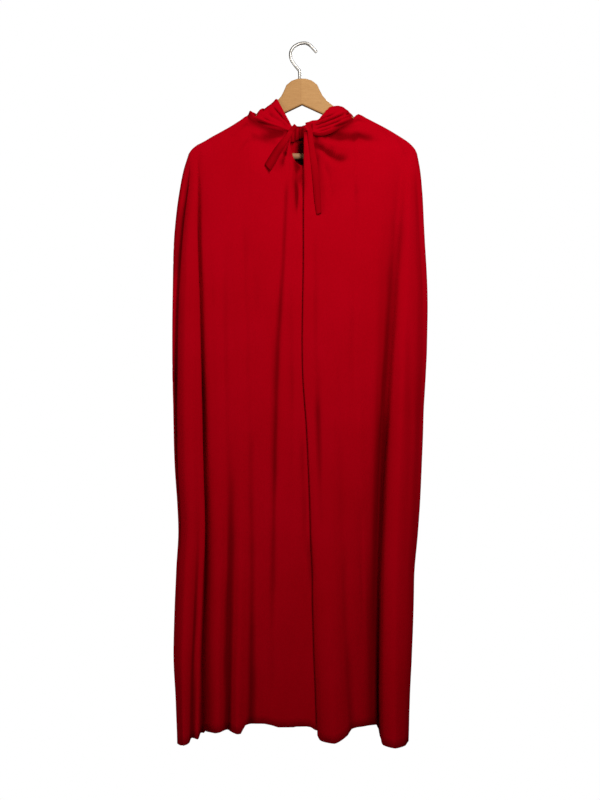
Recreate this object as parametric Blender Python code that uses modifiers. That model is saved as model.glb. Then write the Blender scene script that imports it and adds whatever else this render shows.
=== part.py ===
import math

import bpy
import numpy as np
from mathutils import Matrix

# Driving sizes, in metres unless the name says otherwise
MM = 0.001
WALL = 0.0015
SEAM_GAP = 0.0004
TOP_STATION = -0.300
MID_STATION = -0.767
HEM_STATION = -1.345
NECK_LEFT = -0.113
NECK_RIGHT = 0.099
RIDGE_HALF = 0.0078
HANGER_X = -0.0058
HANGER_TILT = math.radians(0.5)
WOOD_HALF = 0.0057
WOOD_EDGE = 0.0027
BAR_RADIUS = 0.006
BAR_Z = -0.2235
HOOK_RADIUS = 0.00275
SHANK_DEPTH = 0.022
TIE_WIDTH = 0.016
GATHER_DEPTH = 1.6
GAP_MIDDLE_X = -13
LOWER_POWER = 1.3
LOWEST_SHARE = 1.06
LEFT_REACH_X = -255
RIGHT_REACH_X = 235
REACH_FADE = 60
SETTLE_DROP = 160
ARM_ROUND = 6
ARM_LEAVE = 3
ARM_DROP = 120
NECK_DROP = 110
GATHER_FADE = 38
GATHER_START = 3
SIDE_HEM_LEFT = -1374
SIDE_HEM_RIGHT = -1369
SIDE_DEPTH = -1
SIDE_SWING = 52
SMOOTHING = 24
RIDGE_LIFT = 2.6
BACK_LIFT = 1.5
LEFT_ARM_X = -90
LEFT_ARM_LIFT = 1.1
RIGHT_ARM_X = 80
RIGHT_ARM_LIFT = 3.0
TIE_CURL = 0.9
TIE_REACH = 4
PIN_GAP = 0.0003
SOCKET_SPARE = 0.02
WELD_DISTANCE = 0.00005

# Side outline of the hanging cloth: height, left side, right side, in mm
OUTLINE = (
    (-219, -231, 225),
    (-251, -241, 231),
    (-291, -249, 235),
    (-371, -259, 239),
    (-491, -263, 245),
    (-611, -264, 245),
    (-731, -262, 239),
    (-850, -258, 234),
    (-969, -251, 226),
    (-1047, -254, 219),
    (-1125, -257, 216),
    (-1220, -259, 211),
    (-1295, -255, 206),
    (-1375, -251, 203),
)

# Top line of the cloth over the hanger arms: x, height, in mm
SHOULDER_LEFT = (
    (-231, -218.8),
    (-225, -210.8),
    (-217, -203.6),
    (-201, -194.8),
    (-185, -185.2),
    (-161, -172.0),
    (-145, -162.8),
    (-129, -153.4),
    (-113, -144.8),
)
SHOULDER_RIGHT = (
    (99, -142.4),
    (111, -145.0),
    (127, -150.6),
    (143, -157.5),
    (167, -170.4),
    (183, -180.4),
    (199, -190.0),
    (215, -203.2),
    (221, -210.8),
    (225, -218.8),
)

# Neckline seam at the front and at the back: x, depth, height, in mm
NECK_FRONT_LEFT = (
    (-113, -8.4, -149.5),
    (-104, -9.6, -156.5),
    (-81, -10.5, -165.7),
    (-57, -12.5, -173.0),
    (-39, -15, -176.4),
    (-25, -18, -179.0),
)
NECK_FRONT_RIGHT = (
    (-1, -25, -180.0),
    (23, -21, -186.4),
    (47, -17, -183.5),
    (59, -14, -176.5),
    (79, -11, -164.2),
    (91, -9.8, -157.0),
    (99, -8.6, -151.0),
)
NECK_BACK = (
    (-113, 8.4, -149.5),
    (-95, 9.8, -153.5),
    (-50, 11, -159.0),
    (-5, 12, -161.5),
    (40, 11, -159.0),
    (84, 9.8, -153.5),
    (99, 8.6, -150.5),
)

# Fold lines of the body, each running from the top of the cloth to the hem, in mm:
# name, x at top, x half way, x at hem, depth at chest, depth half way, depth at hem, hem height
LEFT_FRONT = (
    ("left_valley", -227, -253, -246, -3, 6, -36, -1384),
    ("left_turn", -225, -251, -240, -12, -16, -62, -1378),
    ("left_crest", -222, -232, -230, -18, -38, -82, -1371),
    ("left_pleat", -219, -212, -217, -20, -41, -66, -1361),
    ("left_second", -216, -201, -205, -18, -34, -76, -1358),
    ("deep_valley", -213, -197, -197, -11, -4, -34, -1361),
    ("deep_slope", -202, -187, -182, -17, -22, -52, -1351),
    ("third_crest", -186, -170, -166, -21, -30, -62, -1347),
    ("third_valley", -166, -149, -148, -23, -30, -40, -1351),
    ("fourth_crest", -146, -128, -130, -24, -36, -66, -1354),
    ("fourth_valley", -127, -105, -104, -25, -34, -46, -1344),
    ("neck_corner_left", -114, -97, -93, -25, -36, -48, -1343),
    ("panel_outer", -110, -89, -81, -25, -37, -50, -1342),
    ("panel_middle", -84, -72, -67, -26, -38, -50, -1344),
    ("panel_valley", -65, -58, -54, -21, -31, -46, -1347),
    ("panel_inner", -50, -42, -32, -26, -38, -50, -1351),
    ("panel_border", -37, -23, -9, -24, -38, -49, -1352),
    ("left_edge", -26, 22, 34, -20, -36, -47, -1349),
)
RIGHT_FRONT = (
    ("right_edge", -1, 4, 25, -29, -46, -60, -1365),
    ("edge_roll", 7, 15, 34, -29, -46, -70, -1373),
    ("near_crest", 19, 30, 56, -27, -41, -80, -1370),
    ("near_slope", 33, 46, 74, -27, -46, -74, -1366),
    ("wide_inner", 51, 63, 91, -27, -46, -50, -1348),
    ("wide_middle", 71, 83, 109, -26, -46, -42, -1348),
    ("wide_outer", 96.5, 103, 123, -25, -45, -38, -1350),
    ("neck_corner_right", 100, 111, 127, -24, -44, -36, -1350),
    ("wide_border", 123, 120, 132, -23, -42, -34, -1349),
    ("gully_lip", 162, 136, 139, -20, -38, -30, -1349),
    ("gully", 194, 153, 146, -13, -6, -14, -1352),
    ("gully_slope", 203, 167, 147.5, -14, -14, -40, -1367),
    ("right_lip", 209, 176, 151, -17, -32, -74, -1376),
    ("right_crest", 214, 195, 174, -18, -40, -90, -1374),
    ("right_turn", 218, 214, 192, -13, -30, -78, -1372),
    ("right_valley", 221, 229, 201, -6, -10, -56, -1373),
)
BACK = (
    ("rear_turn_right", 219, 234, 200, 8, 16, -18, -1366),
    ("rear_crest_one", 206, 216, 184, 11, 30, 28, -1353),
    ("rear_valley_one", 190, 190, 164, 12, 18, 14, -1351),
    ("rear_crest_two", 164, 158, 142, 13, 32, 40, -1348),
    ("rear_slope_two", 140, 134, 120, 13, 27, 30, -1347),
    ("rear_valley_two", 122, 112, 106, 13, 17, 12, -1350),
    ("rear_corner_right", 100, 94, 92, 13, 22, 22, -1348),
    ("rear_crest_three", 96.5, 76, 76, 14, 27, 34, -1346),
    ("rear_valley_three", 60, 48, 54, 13, 19, 17, -1349),
    ("rear_crest_four", 36, 26, 34, 14, 26, 31, -1346),
    ("rear_slope_four", 12, 0, 6, 14, 24, 27, -1345),
    ("rear_valley_four", -8, -22, -14, 13, 18, 13, -1348),
    ("rear_crest_five", -30, -44, -34, 14, 29, 39, -1346),
    ("rear_valley_five", -62, -72, -56, 13, 20, 16, -1350),
    ("rear_crest_six", -110, -104, -84, 14, 27, 36, -1348),
    ("rear_corner_left", -114, -124, -104, 13, 23, 26, -1350),
    ("rear_valley_six", -134, -146, -124, 13, 16, 10, -1353),
    ("rear_crest_seven", -164, -180, -156, 12, 33, 42, -1350),
    ("rear_valley_seven", -192, -208, -184, 11, 19, 14, -1354),
    ("rear_crest_eight", -212, -230, -208, 10, 29, 31, -1360),
    ("rear_turn_left", -224, -250, -232, 6, 18, -8, -1372),
)

# Folds that pull across the front from the ties: name, x and height at the tie,
# x and height at the far end, depth, half width, in mm
PULL_FOLDS = (
    ("right_sharp", 25, -203, 78, -236, 4.0, 8),
    ("right_broad", 52, -186, 170, -196, 3.5, 14),
    ("left_short", -36, -214, -60, -270, 2.0, 7),
    ("left_upper", -44, -184, -112, -168, 2.5, 7),
)

# How a pull fold fades: share before the tie, lead, share where it starts to fade, fade
PULL_BEFORE = 0.15
PULL_AFTER = 1.1
PULL_LEAD = 0.25
PULL_HOLD = 0.45
PULL_FADE = 0.65

# Shares of the drop where the body has a row, closer together over the arms
ROW_SHARES = (
    0.0,
    0.0012,
    0.0045,
    0.012,
    0.026,
    0.048,
    0.075,
    0.108,
    0.145,
    0.19,
    0.24,
    0.295,
    0.355,
    0.42,
    0.485,
    0.55,
    0.615,
    0.68,
    0.74,
    0.80,
    0.86,
    0.915,
    0.96,
    1.0,
)

# Hood: for each station round the neck, seam x, where the seam is, face edge point,
# drop of the pouch below the seam, its outward depth, its x shift and its lift, in mm
HOOD_LEFT = (
    ("corner", -26, "front", (-23.5, -18.8, -171.0), 0, 0, 0, 0),
    ("front", -37, "front", (-28.5, -16.5, -162.0), 0, 0, 0, 0),
    ("arm_front", -50, "front", (-35.0, -13.5, -149.0), 0, 0, 0, 0),
    ("arm_middle", -65, "front", (-41.0, -11.5, -137.5), 0, 0, 0, 0),
    ("arm_rise", -84, "front", (-47.0, -10.0, -126.0), 0, 0, 0, 0),
    ("ridge_front", -110, "front", (-54.0, -8.4, -113.5), 0, 0, 0, 0),
    ("ridge", -114, "ridge", (-59.0, 0, -107.5), 0, 0, 0, -2),
    ("ridge_back", -111, "back", (-59.0, 8.0, -110.0), 0, 0, 0, 0),
    ("behind", -104, "back", (-57.5, 12.5, -116.0), 16, 8, -8, 0),
    ("rear_outer", -92, "back", (-52.0, 25, -134.0), 60, 18, -22, 0),
    ("rear_side", -76, "back", (-45.0, 42, -160.0), 120, 25, -30, 0),
    ("rear_middle", -54, "back", (-36.0, 60, -192.0), 175, 31, -26, 0),
    ("rear_inner", -28, "back", (-20.0, 74, -220.0), 212, 35, -14, 0),
    ("crown_seam", -5.4, "back", (-5.4, 80, -234.0), 232, 37, 0, 0),
)
HOOD_RIGHT = (
    ("corner", -1, "front", (0.6, -26.0, -169.5), 0, 0, 0, 0),
    ("gathered", 7, "front", (7.0, -24.5, -163.0), 0, 0, 0, 0),
    ("front", 19, "front", (15.0, -22.0, -158.5), 0, 0, 0, 0),
    ("arm_front", 33, "front", (24.5, -19.5, -156.0), 0, 0, 0, 0),
    ("arm_middle", 51, "front", (32.5, -16.0, -151.5), 0, 0, 0, 1),
    ("arm_rise", 71, "front", (40.0, -13.0, -142.0), 0, 0, 0, 3),
    ("ridge_front", 96.5, "front", (53.5, -9.8, -127.5), 0, 0, 0, 7),
    ("ridge", 100, "ridge", (61.5, 0, -120.0), 0, 0, 0, 7),
    ("ridge_back", 97.5, "back", (60.0, 8.8, -124.0), 0, 0, 0, 6),
    ("behind", 91, "back", (57.5, 13, -128.0), 16, 8, 8, 0),
    ("rear_outer", 80, "back", (50.0, 26, -142.0), 60, 18, 22, 0),
    ("rear_side", 65, "back", (40.0, 44, -168.0), 120, 25, 30, 0),
    ("rear_middle", 43, "back", (27.0, 62, -198.0), 175, 31, 26, 0),
    ("rear_inner", 17, "back", (10.0, 75, -223.0), 212, 35, 14, 0),
    ("crown_seam", -4.6, "back", (-4.6, 80, -234.0), 232, 37, 0, 0),
)

# Section of the hood's pouch from the neck seam to its bottom: share of the way down,
# share of the x shift, share of the outward depth, depth added in mm
POUCH_FRONT = (
    (0.14, 0.03, 0.02, 3.6),
    (0.50, 0.12, -0.02, 1.0),
    (0.84, 0.06, -0.02, 0.0),
)
# From its bottom up to the face edge: share of the way up, share of the x shift,
# share of the outward depth
POUCH_REAR = (
    (0.28, 0.20, 0.34),
    (0.52, 0.24, 0.30),
    (0.78, 0.10, 0.16),
)
POUCH_SEAM_STEP = (3.4, -0.4)
POUCH_BOTTOM_STEP = 5
POUCH_BOTTOM_SHARE = 0.45
POUCH_FOLD_SHARE = 0.28
POUCH_FOLD_MOST = 9.0
FACE_POINTS = 11

# Ties: x, distance in front of the body, height, width share, in mm
TIE_LEFT = (
    (-29.0, 2.0, -182.5, 0.55),
    (-34.0, 2.1, -190.0, 0.75),
    (-43.0, 2.3, -200.0, 0.95),
    (-54.0, 2.4, -217.0, 1.0),
    (-64.0, 2.4, -238.0, 1.0),
    (-71.5, 2.6, -256.0, 1.0),
)
TIE_RIGHT = (
    (9.5, 2.0, -189.0, 0.6),
    (12.5, 2.1, -206.0, 0.7),
    (17.0, 2.2, -228.0, 0.85),
    (20.5, 2.3, -252.0, 1.0),
    (24.0, 2.3, -285.0, 1.0),
    (26.0, 2.3, -318.0, 1.0),
    (27.0, 2.6, -350.0, 0.95),
)

# Hanger outline from the middle to one arm's end: distance from the middle, height, in mm
WOOD_TOP = (
    (0, -68.8),
    (9, -69.2),
    (20.5, -73.2),
    (30.9, -81.6),
    (36.2, -93.6),
    (41.5, -103.8),
    (50.5, -114.0),
    (60.5, -122.6),
    (84, -136.6),
    (107, -150.2),
    (139, -163.8),
    (170, -180.8),
    (195, -194.8),
    (207, -201.8),
    (212, -206.4),
    (215, -212.0),
    (216, -219.0),
)
WOOD_UNDER = (
    (215, -228.0),
    (207, -232.5),
    (194, -232.0),
    (192, -214.0),
    (168, -201.0),
    (139, -187.5),
    (107, -171.0),
    (72, -154.5),
    (41, -140.2),
    (0, -121.0),
)
BAR_END = 191.6

# Hook wire from the tip over the top to the shank: x, height, in mm
HOOK_PATH = (
    (24.2, -15.5),
    (17.0, -7.6),
    (9.0, -0.2),
    (0.0, 2.75),
    (-11.5, 0.6),
    (-20.5, -4.6),
    (-26.2, -12.6),
    (-27.6, -22.0),
    (-25.2, -31.4),
    (-18.6, -41.4),
    (-12.4, -49.0),
    (-9.6, -56.0),
)


def spline(table, where):
    rows = [tuple(float(value) for value in row) for row in table]
    if rows[0][0] > rows[-1][0]:
        rows = rows[::-1]
    stops = np.array([row[0] for row in rows])
    values = np.array([row[1:] for row in rows])
    slopes = np.gradient(values, stops, axis=0)
    where = min(max(where, stops[0]), stops[-1])
    place = int(min(np.searchsorted(stops, where, side="right") - 1, len(stops) - 2))
    span = stops[place + 1] - stops[place]
    t = (where - stops[place]) / span
    low = values[place] * (1 + 2 * t) * (1 - t) ** 2 + slopes[place] * span * t * (1 - t) ** 2
    high = values[place + 1] * t * t * (3 - 2 * t) - slopes[place + 1] * span * t * t * (1 - t)
    return low + high


def through_three(stations, values, where):
    (a, b, c), (p, q, r) = stations, values
    first = p * (where - b) * (where - c) / ((a - b) * (a - c))
    second = q * (where - a) * (where - c) / ((b - a) * (b - c))
    third = r * (where - a) * (where - b) / ((c - a) * (c - b))
    return first + second + third


def ease(t):
    t = min(max(t, 0.0), 1.0)
    return t * t * (3 - 2 * t)


def blend_depth(values, height):
    chest, middle, hem = values
    if height > MID_STATION:
        share = (TOP_STATION - height) / (TOP_STATION - MID_STATION)
        return chest + (middle - chest) * min(max(share, 0.0), 1.0)
    share = (MID_STATION - height) / (MID_STATION - HEM_STATION)
    return middle + (hem - middle) * min(share, LOWEST_SHARE) ** LOWER_POWER


def outline_shift(height, side):
    """How far the outline swings from a smooth line through three of its heights."""
    column = 0 if side < 0 else 1
    marks = (TOP_STATION, MID_STATION, HEM_STATION)
    smooth = [spline(OUTLINE, mark / MM)[column] for mark in marks]
    return spline(OUTLINE, height / MM)[column] - through_three(marks, smooth, height)


def top_point(x, front):
    """Where a fold line starts: on the arm's top line, or on the neckline seam."""
    if x <= NECK_LEFT / MM:
        return 0.0, float(spline(SHOULDER_LEFT, x)[0]), True
    if x >= NECK_RIGHT / MM:
        return 0.0, float(spline(SHOULDER_RIGHT, x)[0]), True
    if not front:
        depth, height = spline(NECK_BACK, x)
    elif x < GAP_MIDDLE_X:
        depth, height = spline(NECK_FRONT_LEFT, x)
    else:
        depth, height = spline(NECK_FRONT_RIGHT, x)
    return float(depth), float(height), False


def pull_depth(x, z):
    """Depth that the diagonal folds take out of the front at one place, in mm."""
    total = 0.0
    for _, x1, z1, x2, z2, depth, half in PULL_FOLDS:
        along = np.array([x2 - x1, z2 - z1], float)
        length = np.linalg.norm(along)
        along /= length
        offset = np.array([x - x1, z - z1])
        share = float(offset @ along) / length
        across = abs(float(offset[0] * along[1] - offset[1] * along[0]))
        if -PULL_BEFORE < share < PULL_AFTER:
            fade = ease((share + PULL_BEFORE) / PULL_LEAD)
            fade *= 1 - ease((share - PULL_HOLD) / PULL_FADE)
            total += depth * fade * math.exp(-((across / half) ** 2))
    return total


def body_column(line, front, index):
    """Points of one fold line of the body, from its top to the hem."""
    _, x_top, x_middle, x_hem, d_top, d_middle, d_hem, z_hem = line
    y_start, z_start, on_arm = top_point(x_top, front)
    sign = -1.0 if front else 1.0
    stations = (z_start * MM, MID_STATION, HEM_STATION)
    points = []
    for share in ROW_SHARES:
        z = z_start + (z_hem - z_start) * share
        x = through_three(stations, (x_top, x_middle, x_hem), z * MM)
        below = z_start - z
        left_pull = math.exp(-max(x - LEFT_REACH_X, 0) / REACH_FADE)
        right_pull = math.exp(-max(RIGHT_REACH_X - x, 0) / REACH_FADE)
        settle = ease(below / SETTLE_DROP)
        x += settle * left_pull * outline_shift(z * MM, -1)
        x += settle * right_pull * outline_shift(z * MM, 1)
        depth = blend_depth((d_top, d_middle, d_hem), z * MM)
        if on_arm:
            round_over = math.sqrt(1 - (1 - min(below / ARM_ROUND, 1)) ** 2)
            y = sign * RIDGE_HALF / MM * round_over
            y += (depth - sign * RIDGE_HALF / MM) * ease((below - ARM_LEAVE) / ARM_DROP)
        else:
            y = y_start + (depth - y_start) * ease(below / NECK_DROP)
            gather = GATHER_DEPTH * math.exp(-below / GATHER_FADE) * min(1.0, below / GATHER_START)
            y += gather if index % 2 else -gather
        if front:
            y += pull_depth(x, z)
        points.append((x, y, z))
    return points


def side_column(side):
    """The outermost line of the cloth on one side."""
    z_start = OUTLINE[0][0]
    z_hem = SIDE_HEM_LEFT if side < 0 else SIDE_HEM_RIGHT
    points = []
    for share in ROW_SHARES:
        z = z_start + (z_hem - z_start) * share
        x = spline(OUTLINE, z)[0 if side < 0 else 1]
        low = max((MID_STATION - z * MM) / (MID_STATION - HEM_STATION), 0.0)
        points.append((x, SIDE_DEPTH - SIDE_SWING * low**1.5, z))
    return points


def halved(columns):
    """Adds a smooth column half way between each two."""
    made = []
    for place in range(len(columns) - 1):
        near = np.array(columns[place])
        far = np.array(columns[place + 1])
        before = np.array(columns[max(place - 1, 0)])
        after = np.array(columns[min(place + 2, len(columns) - 1)])
        middle = (near + far) / 2 + (near + far - before - after) / SMOOTHING
        made.append(columns[place])
        made.append([tuple(point) for point in middle])
    made.append(columns[-1])
    return made


def grid_mesh(name, columns, scale=MM):
    """A mesh of four-sided faces through columns of points."""
    rows = len(columns[0])
    vertices = [tuple(value * scale for value in point) for column in columns for point in column]
    faces = []
    for place in range(len(columns) - 1):
        for row in range(rows - 1):
            near = place * rows + row
            far = near + rows
            faces.append((near, near + 1, far + 1, far))
    mesh = bpy.data.meshes.new(name)
    mesh.from_pydata(vertices, [], faces)
    mesh.validate()
    return mesh


def as_object(name, mesh, material):
    obj = bpy.data.objects.new(name, mesh)
    cape_collection.objects.link(obj)
    obj.data.materials.append(material)
    for polygon in obj.data.polygons:
        polygon.use_smooth = True
    return obj


def cloth(name, columns, material):
    obj = as_object(name, grid_mesh(name, columns), material)
    wall = obj.modifiers.new("Wall", "SOLIDIFY")
    wall.thickness = WALL
    wall.offset = 0.0
    wall.use_even_offset = False
    return obj


def make_material(name, colour, roughness, metallic=0.0, sheen=0.0):
    material = bpy.data.materials.new(name)
    material.use_nodes = True
    shader = material.node_tree.nodes["Principled BSDF"]
    shader.inputs["Base Color"].default_value = (*colour, 1.0)
    shader.inputs["Roughness"].default_value = roughness
    shader.inputs["Metallic"].default_value = metallic
    shader.inputs["Sheen Weight"].default_value = sheen
    return material


def front_depth(columns, x, z):
    """Depth of the front cloth at one place, in mm."""
    best = 0.0
    crossing = []
    for column in columns:
        heights = [point[2] for point in column]
        if not heights[-1] <= z <= heights[0]:
            continue
        px = np.interp(-z, [-h for h in heights], [point[0] for point in column])
        py = np.interp(-z, [-h for h in heights], [point[1] for point in column])
        crossing.append((px, py))
    for (ax, ay), (bx, by) in zip(crossing, crossing[1:]):
        if min(ax, bx) <= x <= max(ax, bx) and ax != bx:
            best = min(best, ay + (by - ay) * (x - ax) / (bx - ax))
    return best


def seam_point(x, place):
    """Where a hood section starts, just clear of the body's top edge."""
    if place == "ridge":
        return np.array([x, 0.0, top_point(x, True)[1] + RIDGE_LIFT])
    depth, height, _ = top_point(x, place == "front")
    lift = SEAM_GAP / MM if place == "front" else BACK_LIFT
    if x < LEFT_ARM_X:
        lift += LEFT_ARM_LIFT
    if x > RIGHT_ARM_X:
        lift += RIGHT_ARM_LIFT
    return np.array([x, depth, height + lift])


def hood_columns(stations):
    """Sections of one hood half, each from the neck seam round the pouch to the face edge."""
    columns = []
    for _, seam_x, place, face, drop, outward, shift, lift in stations:
        seam = seam_point(seam_x, place)
        face = np.array(face, float)
        if drop == 0:
            column = []
            for t in np.linspace(0, 1, FACE_POINTS):
                point = seam + (face - seam) * t
                point[2] += lift * 4 * t * (1 - t)
                column.append(tuple(point))
            columns.append(column)
            continue
        down = [shift, POUCH_BOTTOM_STEP + outward * POUCH_BOTTOM_SHARE, -drop]
        bottom = seam + np.array(down)
        fold = min(outward * POUCH_FOLD_SHARE, POUCH_FOLD_MOST)
        wide = np.array([shift, 0.0, 0.0])
        out = np.array([0.0, outward, 0.0])
        back = np.array([0.0, 1.0, 0.0])
        knots = [seam, seam + np.array([0.0, *POUCH_SEAM_STEP])]
        for share, wide_share, out_share, added in POUCH_FRONT:
            knot = seam + (bottom - seam) * share + wide * wide_share + out * out_share
            knots.append(knot + back * added)
        knots.append(bottom + np.array([0.0, fold * 0.9, -fold * 0.30]))
        knots.append(bottom + wide * 0.08 + np.array([0.0, fold * 2.0, fold * 0.55]))
        for share, wide_share, out_share in POUCH_REAR:
            knots.append(bottom + (face - bottom) * share + wide * wide_share + out * out_share)
        knots.append(face)
        columns.append([tuple(knot) for knot in knots])
    return columns


def tie_columns(path, columns):
    """Three lengthwise lines of a flat tie lying just in front of the body."""
    places = np.array([(x, z) for x, _, z, _ in path], float)
    steps = np.diff(places, axis=0)
    steps = np.vstack([steps, steps[-1]])
    lines = []
    for side in (-0.5, 0.0, 0.5):
        line = []
        for (x, ahead, z, share), step in zip(path, steps):
            across = np.array([-step[1], step[0]]) / np.linalg.norm(step)
            width = TIE_WIDTH / MM * share
            px = x + across[0] * width * side
            pz = z + across[1] * width * side
            curl = TIE_CURL * (1 - abs(side) * 2)
            near = min(front_depth(columns, px + d, pz) for d in (-TIE_REACH, 0, TIE_REACH))
            line.append((px, near - ahead - curl, pz))
        lines.append(line)
    return lines


for old in list(bpy.data.objects):
    bpy.data.objects.remove(old, do_unlink=True)

cape_collection = bpy.data.collections.new("hooded_cape")
bpy.context.scene.collection.children.link(cape_collection)
tools_collection = bpy.data.collections.new("cutters")
tools_collection.hide_render = True
bpy.context.scene.collection.children.link(tools_collection)

body_cloth = make_material("red_body_cloth", (0.40, 0.003, 0.012), 0.75, sheen=0.3)
hood_cloth = make_material("red_hood_cloth", (0.40, 0.003, 0.012), 0.75, sheen=0.3)
tie_cloth = make_material("red_tie_cloth", (0.36, 0.003, 0.012), 0.75, sheen=0.3)
wood = make_material("pale_wood", (0.62, 0.33, 0.13), 0.45)
bar_wood = make_material("bar_wood", (0.66, 0.42, 0.20), 0.5)
chrome = make_material("chrome_wire", (0.8, 0.8, 0.8), 0.15, metallic=1.0)

# Body of the cape: left front, round the back, to the right front
left_lines = [body_column(line, True, i) for i, line in enumerate(LEFT_FRONT)]
right_lines = [body_column(line, True, i) for i, line in enumerate(RIGHT_FRONT)]
back_lines = [body_column(line, False, i) for i, line in enumerate(BACK)]
left_side = side_column(-1)
right_side = side_column(1)
around = left_lines[::-1] + [left_side] + back_lines[::-1] + [right_side] + right_lines[::-1]
body_columns = halved(around)
cape_body = cloth("cape_body", body_columns, body_cloth)

# Hood halves, hanging empty behind the neck
hood_left = cloth("hood_left", halved(hood_columns(HOOD_LEFT)), hood_cloth)
hood_right = cloth("hood_right", halved(hood_columns(HOOD_RIGHT)), hood_cloth)

# Ties
fronts = halved(left_lines)
tie_left = cloth("tie_left", tie_columns(TIE_LEFT, fronts), tie_cloth)
fronts = halved(right_lines)
tie_right = cloth("tie_right", tie_columns(TIE_RIGHT, fronts), tie_cloth)

# Wooden hanger: one flat outline with softened edges
half = list(WOOD_TOP) + list(WOOD_UNDER)
outline = [(HANGER_X + x * MM, z * MM) for x, z in half]
outline += [(HANGER_X - x * MM, z * MM) for x, z in half[::-1] if x > 0]
curve = bpy.data.curves.new("hanger_outline", "CURVE")
curve.dimensions = "2D"
curve.fill_mode = "BOTH"
curve.extrude = WOOD_HALF - WOOD_EDGE
curve.bevel_depth = WOOD_EDGE
curve.bevel_resolution = 1
curve.offset = -WOOD_EDGE
path = curve.splines.new("POLY")
path.points.add(len(outline) - 1)
for point, (x, z) in zip(path.points, outline):
    point.co = (x, z, 0.0, 1.0)
path.use_cyclic_u = True
hanger_curve = bpy.data.objects.new("hanger_curve", curve)
hanger_curve.rotation_euler = (math.pi / 2, 0.0, 0.0)
tools_collection.objects.link(hanger_curve)
bpy.context.view_layer.update()
graph = bpy.context.evaluated_depsgraph_get()
wood_mesh = bpy.data.meshes.new_from_object(hanger_curve.evaluated_get(graph))
wood_mesh.transform(hanger_curve.matrix_world)
wood_mesh.transform(Matrix.Rotation(-HANGER_TILT, 4, "Y"))
bpy.data.objects.remove(hanger_curve, do_unlink=True)
hanger_wood = as_object("hanger_wood", wood_mesh, wood)
weld = hanger_wood.modifiers.new("Weld", "WELD")
weld.merge_threshold = WELD_DISTANCE

# Socket for the hook's shank
shank_top = WOOD_TOP[0][1] * MM
bpy.ops.mesh.primitive_cylinder_add(
    vertices=20,
    radius=HOOK_RADIUS + PIN_GAP,
    depth=SHANK_DEPTH + SOCKET_SPARE,
    location=(HOOK_PATH[-1][0] * MM, 0.0, shank_top + SOCKET_SPARE / 2 - SHANK_DEPTH / 2),
)
socket = bpy.context.active_object
socket.name = "shank_socket"
for owner in list(socket.users_collection):
    owner.objects.unlink(socket)
tools_collection.objects.link(socket)
socket.hide_render = True
socket.display_type = "WIRE"
cut = hanger_wood.modifiers.new("Socket", "BOOLEAN")
cut.operation = "DIFFERENCE"
cut.solver = "EXACT"
cut.object = socket

# Trouser bar between the arm ends
bpy.ops.mesh.primitive_cylinder_add(
    vertices=24,
    radius=BAR_RADIUS,
    depth=2 * BAR_END * MM,
    location=(HANGER_X, 0.0, BAR_Z),
    rotation=(0.0, math.pi / 2, 0.0),
)
hanger_bar = bpy.context.active_object
hanger_bar.name = "hanger_bar"
hanger_bar.data.transform(Matrix.Rotation(-HANGER_TILT, 4, "Y") @ hanger_bar.matrix_world)
hanger_bar.matrix_world = Matrix.Identity(4)
for owner in list(hanger_bar.users_collection):
    owner.objects.unlink(hanger_bar)
cape_collection.objects.link(hanger_bar)
hanger_bar.data.materials.append(bar_wood)
hanger_bar.data.shade_smooth()
hanger_bar.data.set_sharp_from_angle(angle=math.radians(40))

# Hook: a wire bent in one plane, its shank in the socket
knots = [np.array([x, z]) for x, z in HOOK_PATH]
knots.append(np.array([HOOK_PATH[-1][0], shank_top / MM - SHANK_DEPTH / MM + 1.0]))
wire_points = []
for place in range(len(knots) - 1):
    before = knots[max(place - 1, 0)]
    near = knots[place]
    far = knots[place + 1]
    after = knots[min(place + 2, len(knots) - 1)]
    pieces = 1 if place == len(knots) - 2 else 3
    for piece in range(pieces):
        t = piece / pieces
        start = (far - before) / 2
        end = (after - near) / 2
        point = near * (2 * t**3 - 3 * t**2 + 1) + far * (3 * t**2 - 2 * t**3)
        point = point + start * (t**3 - 2 * t**2 + t) + end * (t**3 - t**2)
        wire_points.append(point)
wire_points.append(knots[-1])
wire = bpy.data.curves.new("hook_wire", "CURVE")
wire.dimensions = "3D"
wire.bevel_depth = HOOK_RADIUS
wire.bevel_resolution = 2
wire.use_fill_caps = True
wire_path = wire.splines.new("POLY")
wire_path.points.add(len(wire_points) - 1)
for point, (x, z) in zip(wire_path.points, wire_points):
    point.co = (x * MM, 0.0, z * MM, 1.0)
hanger_hook = bpy.data.objects.new("hanger_hook", wire)
wire.materials.append(chrome)
cape_collection.objects.link(hanger_hook)

print("body columns", len(body_columns), "rows", len(ROW_SHARES))
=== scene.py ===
import math

import bpy
import numpy as np
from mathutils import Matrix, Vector, noise


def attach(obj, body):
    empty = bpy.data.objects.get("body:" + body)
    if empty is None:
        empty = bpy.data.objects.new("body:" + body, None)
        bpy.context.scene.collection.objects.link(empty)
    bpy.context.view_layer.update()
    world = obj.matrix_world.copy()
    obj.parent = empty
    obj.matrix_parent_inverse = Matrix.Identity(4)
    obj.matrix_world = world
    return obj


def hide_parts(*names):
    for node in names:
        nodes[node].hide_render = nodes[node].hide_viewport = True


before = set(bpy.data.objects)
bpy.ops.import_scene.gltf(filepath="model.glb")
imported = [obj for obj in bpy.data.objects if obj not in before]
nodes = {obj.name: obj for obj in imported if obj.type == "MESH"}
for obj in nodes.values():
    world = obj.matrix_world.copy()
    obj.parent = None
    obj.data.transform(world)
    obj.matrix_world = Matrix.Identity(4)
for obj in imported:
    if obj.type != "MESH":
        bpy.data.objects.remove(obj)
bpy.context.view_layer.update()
mm = 0.001

bpy.context.scene.view_settings.view_transform = "Standard"
bpy.context.scene.view_settings.look = "None"

# camera, floor and lights
print("stage: camera, floor and lights")

cameraSetup = {
    "place": (-0.0088, -1.9, -0.7108),
    "lens": 42.75,
    "floorHeight": -2.50,
    "floorHalf": (1.6, 1.5),
    "floorCentre": (0.0, -0.66),
}

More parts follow.
